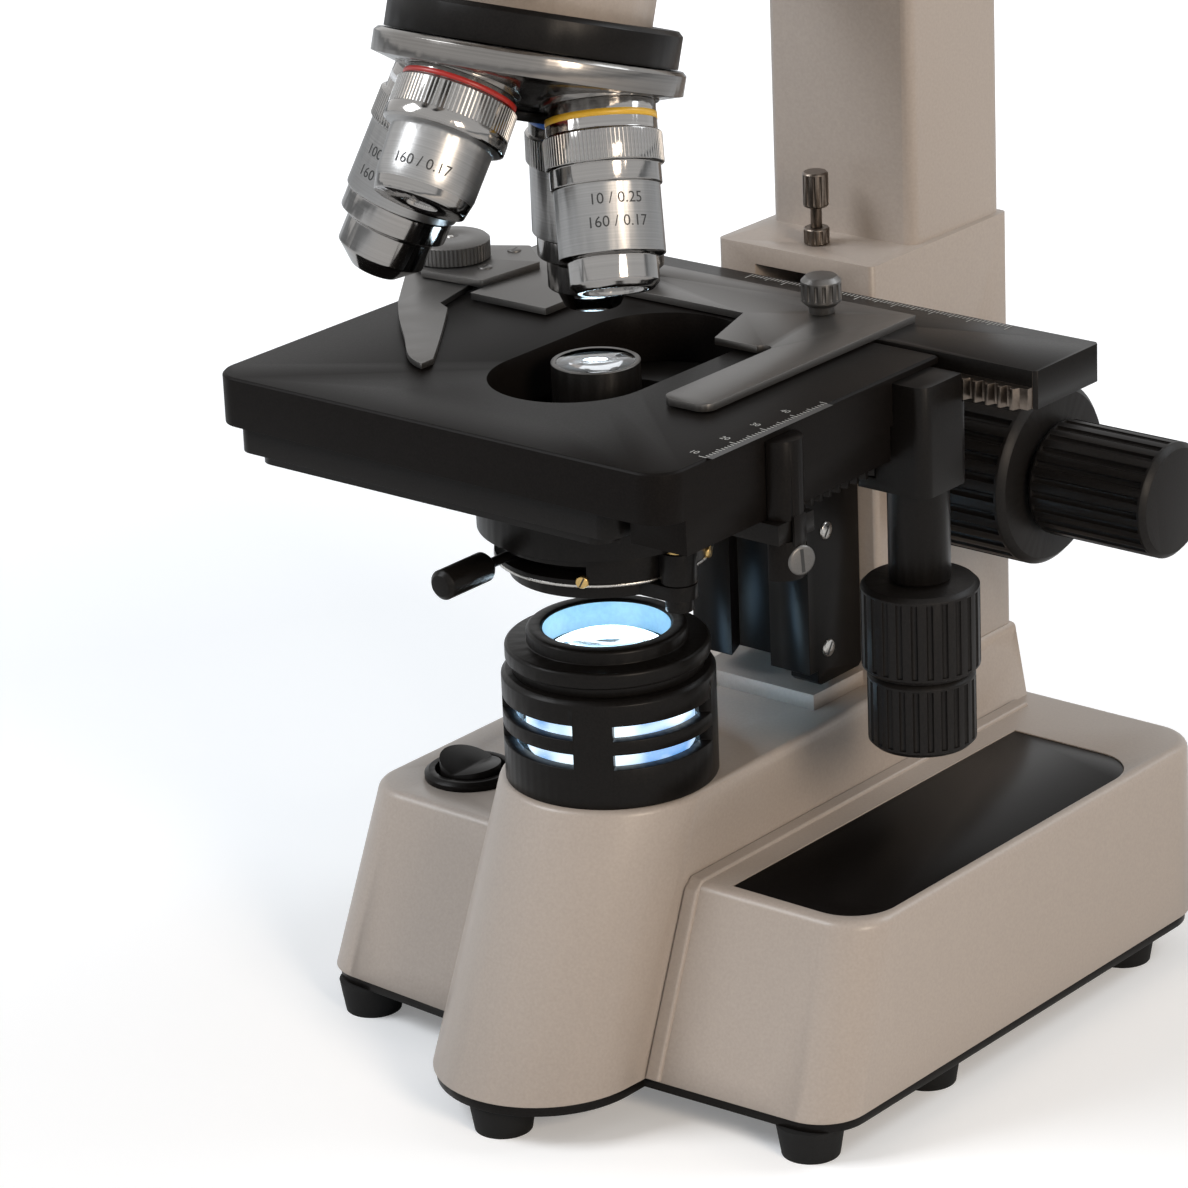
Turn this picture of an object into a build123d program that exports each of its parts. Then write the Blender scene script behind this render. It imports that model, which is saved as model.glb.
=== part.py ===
"""Trinocular biological microscope with a quadruple nosepiece and a mechanical stage.

Millimetres. The origin is where the optical axis meets the table. +Z is up, -Y is the
user's side, +Y is the arm's side and +X is the user's right.
"""
from build123d import *
from math import acos, cos, pi, radians, sin, sqrt, tan
import os

os.makedirs("parts", exist_ok=True)

# Fits and gaps
running = 0.05
passing = 0.3

# Levels above the table
foot_height = 7.5
plate_thickness = 2.5
lobe_top = 52.0
hump_top = 70.8
lamp_rim = 105.0
stage_top = 164.8
block_top = 170.4

# Base housing
base_half_width = 74.0
base_taper = 2.5
base_lean = -2.0
base_wall = 3.5
lobe_front_low = -21.5
lobe_front_high = -5.5
lobe_sweep_low = 4.0
lobe_sweep_high = 1.0
lobe_corner = 11.0
hump_nose_radius_low = 24.5
hump_nose_low = -25.0
hump_nose_radius_high = 24.6
hump_half_width_rear_low = 31.0
hump_half_width_rear_high = 21.6
valley_half_width_low = 28.0
valley_half_width_high = 28.0
valley_front_low = -25.0
valley_front_high = -9.0
valley_top = 50.5
foot_top_radius = 7.6
foot_bottom_radius = 6.4
front_foot = (-1.0, -40.5)
foot_rows = [-11.5, 31.0, 108.0]
foot_inset = 11.0

# Inlay panel on the right lobe
inlay_left = 34.0
inlay_margin = 2.2
inlay_front = -2.0
inlay_length = 106.0
inlay_thickness = 1.8
inlay_corner = 11.0
inlay_inner_corner = 1.5
inlay_gap = 0.1

# Field lamp
lamp_radius = 23.4
lamp_wall = 2.8
lamp_top = 95.6
lamp_tier_radius = 22.4
lamp_neck_radius = 21.0
lamp_tier_low = 97.8
lamp_tier_high = 101.8
bezel_radius = 17.6
bezel_bore = 14.0
slot_height = 3.4
slot_levels = [79.9, 86.5]
lamp_pillars = 4
lamp_pillar_width = 8.7
lamp_pillar_angle = -60.0
collector_crown = 5.6
led_board_radius = 17.0
led_board_thickness = 1.6
lamp_floor = 2.4
lamp_floor_bore = 12.0
lamp_mouth = 16.0
lens_seat_bore = 12.4
lens_seat_depth = 8.0
lens_rim = 1.4

# Power controls
switch_inset = 18.1
switch_y = 13.0
switch_flange_radius = 10.6
switch_barrel_radius = 9.4
switch_well_radius = 8.2
rocker_radius = 7.0
rocker_pin_depth = 2.0
switch_rim = 2.0
switch_well_depth = 7.5
switch_body_depth = 14.0
rocker_pin_radius = 1.2
dial_y = 62.0
dial_z = 31.0
dial_radius = 9.0
dial_length = 9.0
dial_shaft_radius = 3.0
inlet_x = 34.0
inlet_z = 31.0
inlet_width = 30.0
inlet_height = 23.0
inlet_flange = 2.0
inlet_depth = 20.0
socket_width = 22.8
socket_height = 16.0
socket_depth = 15.0
socket_wall = 1.5
blade_places = [(-7, 2), (7, 2), (0, -2)]
blade_recess = 5.0
fuse_x = 2.0
fuse_radius = 7.0
fuse_body_radius = 5.6
fuse_slot_width = 1.2

# Arm
arm_half_width = 20.0
block_half_width = 21.5
block_front = 69.5
column_front = 87.0
arm_rear = 121.0
toe_half_width = 16.6
toe_front = 51.0
toe_top = 74.5
arm_front = -40.0
arm_nose_low = 257.0
arm_underside = 244.0
arm_top = 282.0
arm_inner_curve = 24.0
arm_outer_curve = 34.0
arm_nose_round = 9.0
arm_edge_round = 3.0
block_round = 1.5
guide_slot_half_width = 11.0
guide_slot_rear = 104.0
guide_slot_low = 79.0
guide_slot_high = 166.0
head_ring_radius = 29.5
head_ring_low = 270.0
head_ring_top = 288.0
head_socket_radius = 22.5
head_socket_depth = 8.0
light_path_radius = 8.5
head_clamp_z = 284.0
head_clamp_radius = 2.0

# Upper stop of the coarse focus
stop_y = 78.0
stop_radius = 1.3
stop_tip = 160.0
stop_nut_radius = 2.9
stop_nut_height = 3.8
stop_head_low = 179.0
stop_head_height = 8.0

# Coarse and fine focus
focus_y = 92.0
focus_z = 122.0
gear_module = 1.0
pinion_teeth = 12
tooth_addendum = 0.7
tooth_dedendum = 0.95
tooth_backlash = 0.24
pressure_angle = 20.0
coarse_shaft_radius = 6.0
coarse_gear_neck = 5.0
fine_shaft_radius = 3.0
tension_ring_radius = 17.0
coarse_knob_radius = 20.5
coarse_knob_start = 26.0
coarse_knob_width = 28.0
fine_knob_radius = 13.0
fine_knob_start = 55.0
fine_knob_end = 86.0

# Focus slide inside the arm, and the carriage in front of it
guide_low = 84.0
guide_high = 148.0
guide_front = 71.5
guide_rear = 83.5
rack_half_width = 4.5
rack_low = 90.0
rack_high = 140.0
key_half_width = 5.0
key_depth = 6.0
carriage_half_width = 16.5
carriage_front = 50.0
carriage_low = 79.5
gib_low = 76.0
gib_width = 7.7
dovetail_narrow = 5.5
dovetail_wide = 8.0
dovetail_depth = 6.0

# Mechanical stage
stage_left = -64.0
stage_right = 59.5
stage_front = -51.7
stage_rear = 41.4
stage_plate_thickness = 11.0
stage_corner = 7.0
skirt_left = 45.0
skirt_low = 146.2
skirt_rear = 24.0
base_plate_left = -60.0
base_plate_right = 43.6
base_plate_front = -49.0
base_plate_rear = 62.0
base_plate_low = 144.9
base_plate_step = 147.3
base_plate_margin = 8.0
aperture_x = 2.8
aperture_radius = 18.2
aperture_front = -29.0
aperture_rear = 37.0
condenser_hole_radius = 22.0
ledge_rear = 66.0
ledge_thickness = 2.7
bar_left = -64.0
bar_right = 84.0
bar_front = 42.0
bar_rear = 65.5
bar_rise = 0.4
sheet = 1.6
index_post_y = -14.0
index_post_radius = 4.75
index_post_low = 133.0
index_post_high = 163.0

# Coaxial stage control
control_x = 59.5
control_y = 33.5
x_rack_low = 157.0
x_rack_high = 161.6
y_rack_low = 141.5
y_rack_high = 145.9
y_rack_front = 0.0
y_rack_rear = 44.0
y_rack_left = 38.0
housing_left = 50.0
housing_right = 67.6
housing_front = 25.0
housing_rear = 41.2
housing_low = 138.5
housing_high = 163.0
gear_well_radius = 6.95
sleeve_radius = 6.7
sleeve_low = 117.6
outer_shaft_radius = 4.5
inner_shaft_radius = 2.6
upper_knob_radius = 12.8
upper_knob_low = 97.0
upper_knob_high = 116.8
lower_knob_radius = 11.7
lower_knob_low = 80.0

# Slide holder
holder_left = -60.0
holder_rear = 56.0
holder_right = 43.0
holder_arm_left = 30.8
holder_arm_tip = -16.5
holder_block_y = 20.6
holder_block_x = 16.0
holder_pocket_x = 10.5
holder_pocket_y = 37.6
holder_relief = 1.7
left_block_right = -28.0
left_block_left = -49.6
left_block_y = 17.0
thumb_screw_y = 46.5
thumb_screw_right_x = 25.0
thumb_screw_left_x = -24.0
thumb_head_radius = 4.4
thumb_head_height = 6.5
thumb_collar_radius = 2.8
thumb_collar_height = 1.7
thumb_stem_radius = 2.0
thumb_stem_depth = 6.0
finger_pivot_x = -67.3
finger_pivot_y = 31.0
finger_eye_radius = 7.0
finger_cap_radius = 7.2
finger_cap_height = 3.8
finger_pin_radius = 2.5

# Condenser
carrier_radius = 27.0
carrier_low = 129.0
carrier_high = 141.0
carrier_arm_half_width = 12.0
condenser_sleeve = 20.0
condenser_flange = 23.5
condenser_low = 121.8
condenser_flange_high = 128.7
condenser_shoulder_radius = 18.5
condenser_shoulder_z = 150.0
condenser_neck_z = 153.2
condenser_nose_radius = 9.6
condenser_lens_radius = 8.5
condenser_lens_depth = 2.2
condenser_lens_gap = 0.3
iris_ring_radius = 18.4
iris_ring_bore = 9.0
iris_ring_low = 123.8
iris_ring_high = 126.2
iris_gap = 0.3
lever_x = -9.0
lever_rod_radius = 1.1
lever_rod_end = -28.0
lever_end = -43.0
lever_handle_radius = 3.3
filter_pivot_x = 25.5
filter_pivot_y = -6.0
filter_lug_radius = 4.0
filter_pin_radius = 1.5
filter_radius = 20.5
filter_bore = 16.0
filter_thickness = 3.2
filter_tab_length = 6.0
condenser_knob_y = 38.0
condenser_knob_z = 135.0
condenser_knob_radius = 9.0
condenser_knob_start = 28.0
condenser_knob_width = 12.0
condenser_shaft_radius = 2.5
clamp_knob_z = 135.0
clamp_knob_radius = 8.0
clamp_knob_start = 34.0
clamp_knob_width = 12.0
clamp_screw_radius = 2.0

# Nosepiece: every objective axis meets the turret axis at one point
turret_tilt = radians(17.36)
turret_apex = 288.65
seat_distance = 67.0
turret_radius = 32.4
turret_high = 55.0
turret_rim = 60.0
turret_nose_radius = 8.0
turret_nose = 67.4
seat_radius = 12.2
mount_radius = 30.5
mount_high = 47.0
arm_boss_radius = 24.0
turret_pin_radius = 4.0
turret_pin_head_radius = 7.0
turret_pin_head = 2.0
thread_radius = 10.1
thread_length = 4.5
objective_bore = 6.5

# Head
head_rise = radians(30)
head_half_width = 31.0
head_disc_high = 294.0
head_top = 340.0
head_rear = 34.0
head_clamp_knob_radius = 3.8
head_clamp_knob_length = 8.0
hub_y = -25.0
hub_z = 318.0
hub_radius = 22.0
hub_layer = 8.0
hub_pin_radius = 6.0
hub_cap_radius = 13.0
hub_cap_thickness = 3.0
ocular_arm = 38.0
ocular_rest_angle = radians(32.6)
ocular_housing_radius = 15.4
ocular_tube_radius = 14.5
ocular_tube_end = 72.0
ocular_bore_start = 20.0
eyepiece_radius = 11.6
eyepiece_sleeve = 20.0
eyepiece_end = 122.0
eyepiece_body_radius = 15.5
eye_rim_radius = 17.0
eye_lens_radius = 10.0
diopter_radius = 17.2
diopter_low = 28.0
diopter_width = 12.0
photo_tube_y = 10.0
photo_tube_radius = 15.5
photo_flange_radius = 19.0
photo_flange_height = 5.0
photo_bore = 11.65
photo_tube_top = 392.0
splitter_y = 4.0
splitter_z = 312.0
splitter_radius = 2.0
splitter_depth = 20.0
splitter_reach = 14.0
splitter_knob_radius = 4.5
splitter_knob_length = 7.0

# Worked out from the sizes above
base_bottom = foot_height + plate_thickness
base_half_width_high = base_half_width - base_taper
inlay_right = base_half_width_high - inlay_margin
switch_x = switch_inset - base_half_width_high
rocker_swing_level = lobe_top - rocker_pin_depth
switch_well_floor = lobe_top - switch_well_depth
switch_bottom = lobe_top - switch_body_depth
lamp_board_low = hump_top + lamp_floor
lens_seat = lamp_rim - lens_seat_depth
bar_top = stage_top + bar_rise
condenser_top = stage_top - condenser_lens_gap
condenser_lens_low = condenser_top - condenser_lens_depth
wall_share = (dial_z - dial_radius - base_bottom) / (lobe_top - base_bottom)
dial_face = (-(base_half_width - base_lean) * (1 - wall_share)
             - base_half_width_high * wall_share - passing)
front_reach = (-hub_y + eyepiece_end * cos(head_rise) + eye_rim_radius * sin(head_rise)
               - ocular_arm * sin(ocular_rest_angle) * sin(head_rise))
base_rear = front_reach - inlet_flange
pitch_radius = gear_module * pinion_teeth / 2
tooth_pitch = pi * gear_module
plate_low = stage_top - stage_plate_thickness
base_plate_top = plate_low - passing
ledge_top = plate_low + ledge_thickness
x_rack_front = control_y + pitch_radius - tooth_addendum - 0.3
bar_low = ledge_top + passing
carriage_rear = block_front - passing
holder_top = bar_top + sheet
clamp_plate_top = holder_top + sheet
turret_up = (0, sin(turret_tilt), cos(turret_tilt))
apex = (0, 0, turret_apex)
head_low = head_ring_top + passing
head_out = (0, -cos(head_rise), sin(head_rise))
hub = (0, hub_y, hub_z)


def axial_plane(origin, up):
    """A sketch plane that holds an axis: local y runs along the axis."""
    up = Vector(up).normalized()
    reference = Vector(0, 1, 0) if abs(up.X) > 0.9 else Vector(1, 0, 0)
    side = reference - up * up.dot(reference)
    return Plane(origin=origin, x_dir=side, z_dir=side.cross(up))


def outline(plane, points):
    """A closed face with straight sides."""
    with BuildSketch(plane) as face:
        with BuildLine():
            Polyline(*points, close=True)
        make_face()
    return face.sketch


def turned(points, origin=(0, 0, 0), up=(0, 0, 1)):
    """Turn a profile of (radius, height) points about an axis, in the open part."""
    revolve(outline(axial_plane(origin, up), points), axis=Axis(origin, up))


def box_between(low, high, mode=Mode.ADD):
    """A box given by two opposite corners, in the open part."""
    size = [b - a for a, b in zip(low, high)]
    middle = [(a + b) / 2 for a, b in zip(low, high)]
    with Locations(tuple(middle)):
        Box(*size, mode=mode)


def bore(plane, radius, depth):
    """A round hole from a plane along its normal, in the open part."""
    with BuildSketch(plane) as mouth:
        Circle(radius)
    extrude(mouth.sketch, amount=depth, mode=Mode.SUBTRACT)


def involute(angle):
    return tan(angle) - angle


def pinion_points(teeth, phase):
    """Outline of an involute pinion with short teeth, the first tooth at the phase angle."""
    radius = gear_module * teeth / 2
    alpha = radians(pressure_angle)
    base = radius * cos(alpha)
    tip = radius + tooth_addendum * gear_module
    root = radius - tooth_dedendum * gear_module
    half_tooth = (tooth_pitch / 2 - tooth_backlash) / (2 * radius)
    flank = []
    for step in range(4):
        r = base + (tip - base) * (step / 3) ** 1.5
        flank.append((r, half_tooth + involute(alpha) - involute(acos(base / r))))
    points = []
    for tooth in range(teeth):
        centre = phase + 2 * pi * tooth / teeth
        rising = [(root, flank[0][1] + 0.02)] + flank
        points += [(r * cos(centre - a), r * sin(centre - a)) for r, a in rising]
        points += [(r * cos(centre + a), r * sin(centre + a)) for r, a in reversed(rising)]
    return points


def rack_points(start, end, middle, body):
    """Outline of a rack: teeth point to -Y from the pitch line y=0, the body is behind it.

    A tooth gap is centred on the middle, so that a pinion tooth can stand in it.
    """
    slope = tan(radians(pressure_angle))
    half_pitch_tooth = (tooth_pitch / 2 - tooth_backlash) / 2
    half_tip = half_pitch_tooth - tooth_addendum * gear_module * slope
    half_root = half_pitch_tooth + tooth_dedendum * gear_module * slope
    first = int((start - middle) / tooth_pitch) - 1
    last = int((end - middle) / tooth_pitch) + 1
    points = [(start, body), (start, tooth_dedendum * gear_module)]
    for tooth in range(first, last + 1):
        centre = middle + (tooth + 0.5) * tooth_pitch
        if centre - half_root <= start or centre + half_root >= end:
            continue
        points.append((centre - half_root, tooth_dedendum * gear_module))
        points.append((centre - half_tip, -tooth_addendum * gear_module))
        points.append((centre + half_tip, -tooth_addendum * gear_module))
        points.append((centre + half_root, tooth_dedendum * gear_module))
    points += [(end, tooth_dedendum * gear_module), (end, body)]
    return points


def knob(origin, up, radius, length, grips, edge=1.0, groove=0.5):
    """A gripped knob from the origin along its axis, in the open part."""
    turned([(0, 0), (radius - edge, 0), (radius, edge), (radius, length - edge),
            (radius - edge, length), (0, length)], origin, up)
    direction = Vector(up).normalized()
    start = Vector(origin) + direction * (edge * 1.5)
    side = axial_plane(origin, up).x_dir
    with BuildSketch(Plane(origin=start, x_dir=side, z_dir=direction)) as cuts:
        with PolarLocations(radius, grips):
            Circle(groove)
    extrude(cuts.sketch, amount=length - edge * 3, mode=Mode.SUBTRACT)


def lobe_face(level, shift, half_width, front, sweep, rear, corner):
    """Plan of the side lobes at one level, with its swept front."""
    with BuildSketch(Plane((shift, 0, level))) as face:
        Polygon(
            (-half_width, front + sweep), (0, front), (half_width, front + sweep),
            (half_width, rear), (-half_width, rear), align=None,
        )
        fillet(face.vertices().filter_by(lambda v: abs(v.X) > half_width / 2), corner)
    return face.sketch


def hump_face(level, shift, radius, nose, rear_half_width, rear):
    """Plan of the centre hump at one level: a round nose with two long sides."""
    with BuildSketch(Plane((shift, 0, level))) as face:
        with BuildLine():
            Line((-rear_half_width, rear), (-radius, nose))
            ThreePointArc((-radius, nose), (0, nose - radius), (radius, nose))
            Line((radius, nose), (rear_half_width, rear))
            Line((rear_half_width, rear), (-rear_half_width, rear))
        make_face()
    return face.sketch


def lobe_loft(inset, low, high, mode):
    """The two side lobes between two levels, made smaller by an inset."""
    low_face = lobe_face(low, base_lean, base_half_width - inset, lobe_front_low + inset,
                         lobe_sweep_low, base_rear - inset, lobe_corner)
    high_face = lobe_face(high, 0, base_half_width_high - inset, lobe_front_high + inset,
                          lobe_sweep_high, base_rear - inset, lobe_corner)
    loft([low_face, high_face], ruled=True, mode=mode)


def hump_loft(inset, low, high, mode):
    """The centre hump between two levels, made smaller by an inset."""
    low_face = hump_face(low, base_lean, hump_nose_radius_low - inset, hump_nose_low,
                         hump_half_width_rear_low - inset, base_rear - inset)
    high_face = hump_face(high, 0, hump_nose_radius_high - inset, 0,
                          hump_half_width_rear_high - inset, arm_rear + 1 - inset)
    loft([low_face, high_face], ruled=True, mode=mode)


def make_base_housing():
    """Moulded base: a tall round-nosed hump between two low lobes, open below."""
    with BuildPart() as housing:
        lobe_loft(0, base_bottom, lobe_top, Mode.ADD)
        fillet(housing.edges().group_by(Axis.Z)[-1], 2.5)
        valley_low = hump_face(base_bottom, base_lean, valley_half_width_low, valley_front_low
                               + valley_half_width_low, valley_half_width_low, 40)
        valley_high = hump_face(valley_top, 0, valley_half_width_high, valley_front_high
                                + valley_half_width_high, valley_half_width_high, 40)
        loft([valley_low, valley_high], ruled=True)
        hump_loft(0, base_bottom, hump_top, Mode.ADD)
        fillet(housing.edges().group_by(Axis.Z)[-1], 1.6)
        lobe_loft(base_wall, base_bottom, lobe_top - base_wall, Mode.SUBTRACT)
        hump_loft(base_wall, base_bottom, hump_top - base_wall, Mode.SUBTRACT)
        extrude(inlay_face(lobe_top - inlay_thickness, 0), amount=inlay_thickness + 1,
                mode=Mode.SUBTRACT)
        bore(Plane.XY.offset(hump_top - base_wall - 1), lamp_radius / 2, base_wall + 2)
        bore(Plane((switch_x, switch_y, lobe_top - base_wall - 1)),
             switch_barrel_radius + running, base_wall + 2)
        bore(Plane(origin=(-base_half_width - 3, dial_y, dial_z), z_dir=(1, 0, 0)),
             dial_shaft_radius + running, base_wall + 8)
        half_width = socket_width / 2 + socket_wall + 0.2
        half_height = socket_height / 2 + socket_wall + 0.2
        box_between((inlet_x - half_width, base_rear - base_wall - 1, inlet_z - half_height),
                    (inlet_x + half_width, base_rear + 1, inlet_z + half_height), Mode.SUBTRACT)
        bore(Plane(origin=(fuse_x, base_rear + 1, inlet_z), z_dir=(0, -1, 0)),
             fuse_body_radius + passing, base_wall + 2)
    housing.part.label = "base_housing"
    export_step(housing.part, "parts/base_housing.step")


def inlay_face(level, inset):
    """Plan of the inlay panel: one large round corner at the outer front."""
    with BuildSketch(Plane.XY.offset(level)) as face:
        Polygon(
            (inlay_left + inset, inlay_front + inset), (inlay_right - inset, inlay_front + inset),
            (inlay_right - inset, inlay_front + inlay_length - inset),
            (inlay_left + inset, inlay_front + inlay_length - inset), align=None,
        )
        outer = face.vertices().sort_by(Axis.X)[-2:]
        inner = face.vertices().sort_by(Axis.X)[:2]
        fillet(outer, inlay_corner)
        fillet(inner, inlay_inner_corner)
    return face.sketch


def make_inlay_panel():
    with BuildPart() as panel:
        extrude(inlay_face(lobe_top - inlay_thickness, inlay_gap),
                amount=inlay_thickness - 2 * inlay_gap)
    panel.part.label = "inlay_panel"
    export_step(panel.part, "parts/inlay_panel.step")


def make_bottom_plate():
    inset = 0.7
    with BuildPart() as plate:
        extrude(lobe_face(foot_height, base_lean, base_half_width - inset, lobe_front_low + inset,
                          lobe_sweep_low, base_rear - inset, lobe_corner),
                amount=plate_thickness)
        extrude(hump_face(foot_height, base_lean, hump_nose_radius_low - inset, hump_nose_low,
                          hump_nose_radius_low, 40), amount=plate_thickness)
        extrude(hump_face(foot_height, base_lean, valley_half_width_low - inset, valley_front_low
                          + valley_half_width_low, valley_half_width_low, 40),
                amount=plate_thickness)
    plate.part.label = "bottom_plate"
    export_step(plate.part, "parts/bottom_plate.step")


def make_rubber_feet():
    reach = base_half_width - foot_inset
    places = [front_foot] + [(base_lean + side * reach, y) for y in foot_rows for side in (-1, 1)]
    with BuildPart() as feet:
        with Locations(*[(x, y, foot_height / 2) for x, y in places]):
            Cone(foot_bottom_radius, foot_top_radius, foot_height)
    feet.part.label = "rubber_feet"
    export_step(feet.part, "parts/rubber_feet.step")


def make_lamp_housing():
    """Ring with two rows of long slots between four pillars."""
    inner = lamp_radius - lamp_wall
    roof = lamp_top - lamp_floor
    with BuildPart() as housing:
        turned([(lamp_floor_bore, hump_top), (lamp_radius, hump_top), (lamp_radius, lamp_top - 1),
                (lamp_radius - 1, lamp_top), (lamp_mouth, lamp_top), (lamp_mouth, roof),
                (inner, roof), (inner, lamp_board_low), (lamp_floor_bore, lamp_board_low)])
        for level in slot_levels:
            with BuildSketch(Plane.XY.offset(level)) as slots:
                Circle(lamp_radius + 1)
                Circle(inner - 1, mode=Mode.SUBTRACT)
                with PolarLocations(lamp_radius, lamp_pillars, start_angle=lamp_pillar_angle):
                    Rectangle(lamp_wall * 4, lamp_pillar_width, mode=Mode.SUBTRACT)
            extrude(slots.sketch, amount=slot_height, mode=Mode.SUBTRACT)
    housing.part.label = "lamp_housing"
    export_step(housing.part, "parts/lamp_housing.step")


def make_lamp_collar():
    """Stepped collar that screws into the lamp ring and holds the collector lens."""
    spigot = lamp_mouth - 0.1
    spigot_low = lamp_top - lamp_floor + 0.2
    with BuildPart() as collar:
        turned([(lens_seat_bore, spigot_low), (spigot, spigot_low), (spigot, lamp_top),
                (lamp_neck_radius, lamp_top), (lamp_neck_radius, lamp_tier_low),
                (lamp_tier_radius, lamp_tier_low + 0.5),
                (lamp_tier_radius, lamp_tier_high - 0.6),
                (lamp_tier_radius - 0.6, lamp_tier_high), (bezel_radius, lamp_tier_high),
                (bezel_radius, lamp_rim - 0.6), (bezel_radius - 0.6, lamp_rim),
                (bezel_bore + 0.4, lamp_rim), (bezel_bore, lamp_rim - 0.8),
                (bezel_bore, lens_seat), (lens_seat_bore, lens_seat)])
    collar.part.label = "lamp_collar"
    export_step(collar.part, "parts/lamp_collar.step")


def make_collector_lens():
    """Plano-convex lens: a flat rim and a spherical crown."""
    edge = bezel_bore - 0.1
    rise = collector_crown - lens_rim
    sphere = (edge ** 2 + rise ** 2) / (2 * rise)
    half = edge / 2
    with BuildPart() as lens:
        with BuildSketch(Plane.XZ):
            with BuildLine():
                Polyline((0, lens_seat), (edge, lens_seat), (edge, lens_seat + lens_rim))
                ThreePointArc((edge, lens_seat + lens_rim),
                              (half, lens_seat + collector_crown - sphere
                               + sqrt(sphere ** 2 - half ** 2)),
                              (0, lens_seat + collector_crown))
                Line((0, lens_seat + collector_crown), (0, lens_seat))
            make_face()
        revolve(axis=Axis.Z)
    lens.part.label = "collector_lens"
    export_step(lens.part, "parts/collector_lens.step")


def make_led_module():
    """Lamp board on a heat spreader, with the emitter's dome."""
    spreader = lamp_floor_bore - 0.5
    board_top = lamp_board_low + led_board_thickness
    with BuildPart() as module:
        turned([(0, hump_top), (spreader, hump_top), (spreader, lamp_board_low),
                (led_board_radius, lamp_board_low), (led_board_radius, board_top), (4.2, board_top),
                (4.2, board_top + 1.4), (3.2, board_top + 3), (0, board_top + 3.6)])
    module.part.label = "led_module"
    export_step(module.part, "parts/led_module.step")


def make_switch_bezel():
    """Round frame of the power switch, with the well that the rocker turns in."""
    with BuildPart() as bezel:
        turned([(0, switch_bottom), (switch_barrel_radius, switch_bottom),
                (switch_barrel_radius, lobe_top), (switch_flange_radius, lobe_top),
                (switch_flange_radius, lobe_top + switch_rim - 0.8),
                (switch_flange_radius - 1, lobe_top + switch_rim),
                (switch_well_radius, lobe_top + switch_rim),
                (switch_well_radius, switch_well_floor), (0, switch_well_floor)],
               (switch_x, switch_y, 0))
        bore(Plane(origin=(switch_x, switch_y - switch_barrel_radius - 1, rocker_swing_level),
                   z_dir=(0, 1, 0)), rocker_pin_radius + running, 2 * switch_barrel_radius + 2)
    bezel.part.label = "switch_bezel"
    export_step(bezel.part, "parts/switch_bezel.step")


def make_power_rocker():
    """Round rocker with a dished top, pressed down on its right side."""
    with BuildPart() as rocker:
        with BuildSketch(Plane((switch_x, switch_y, rocker_swing_level - 3.5))):
            Circle(rocker_radius)
        extrude(amount=11)
        dish = [(-9, 12), (-9, 7.6), (-7.6, 7.4), (0.6, 4.4), (7.6, 5.4), (9, 5.6), (9, 12)]
        plane = Plane(origin=(switch_x, switch_y, rocker_swing_level), x_dir=(1, 0, 0),
                      z_dir=(0, -1, 0))
        extrude(outline(plane, dish), amount=10, both=True, mode=Mode.SUBTRACT)
        with Locations(Plane(origin=(switch_x, switch_y, rocker_swing_level), z_dir=(0, 1, 0))):
            Cylinder(rocker_pin_radius, 2 * switch_barrel_radius - 0.6)
    rocker.part.label = "power_rocker"
    export_step(rocker.part, "parts/power_rocker.step")


def make_brightness_dial():
    with BuildPart() as dial:
        origin = (dial_face, dial_y, dial_z)
        knob(origin, (-1, 0, 0), dial_radius, dial_length, 24)
        turned([(0, -base_wall - 3), (dial_shaft_radius, -base_wall - 3), (dial_shaft_radius, 0.5),
                (0, 0.5)], origin, (-1, 0, 0))
    dial.part.label = "brightness_dial"
    export_step(dial.part, "parts/brightness_dial.step")


def make_power_inlet():
    """Recessed three-pin mains inlet: flange, body, socket well and blades."""
    back = base_rear + inlet_flange
    body_w = socket_width / 2 + socket_wall
    body_h = socket_height / 2 + socket_wall
    with BuildPart() as inlet:
        with BuildSketch(Plane.XZ.offset(-base_rear)):
            with Locations((inlet_x, inlet_z)):
                RectangleRounded(inlet_width, inlet_height, 2)
        extrude(amount=-inlet_flange)
        box_between((inlet_x - body_w, base_rear - inlet_depth, inlet_z - body_h),
                    (inlet_x + body_w, base_rear, inlet_z + body_h))
        with BuildSketch(Plane.XZ.offset(-back)):
            with Locations((inlet_x, inlet_z)):
                Rectangle(socket_width, socket_height)
                chamfer(vertices().group_by(Axis.Y)[-1], 4)
        extrude(amount=socket_depth, mode=Mode.SUBTRACT)
        for dx, dz in blade_places:
            box_between((inlet_x + dx - 1, back - socket_depth - 1, inlet_z + dz - 2),
                        (inlet_x + dx + 1, back - blade_recess, inlet_z + dz + 2))
    inlet.part.label = "power_inlet"
    export_step(inlet.part, "parts/power_inlet.step")


def make_fuse_cap():
    with BuildPart() as cap:
        turned([(0, -12), (fuse_body_radius, -12), (fuse_body_radius, 0), (fuse_radius, 0),
                (fuse_radius, 1.2), (fuse_radius - 0.6, inlet_flange - 0.1),
                (0, inlet_flange - 0.1)], (fuse_x, base_rear, inlet_z), (0, 1, 0))
        half_slot = fuse_slot_width / 2
        box_between((fuse_x - fuse_radius + 2.5, base_rear + 1, inlet_z - half_slot),
                    (fuse_x + fuse_radius - 2.5, base_rear + 3, inlet_z + half_slot), Mode.SUBTRACT)
    cap.part.label = "fuse_cap"
    export_step(cap.part, "parts/fuse_cap.step")


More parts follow.
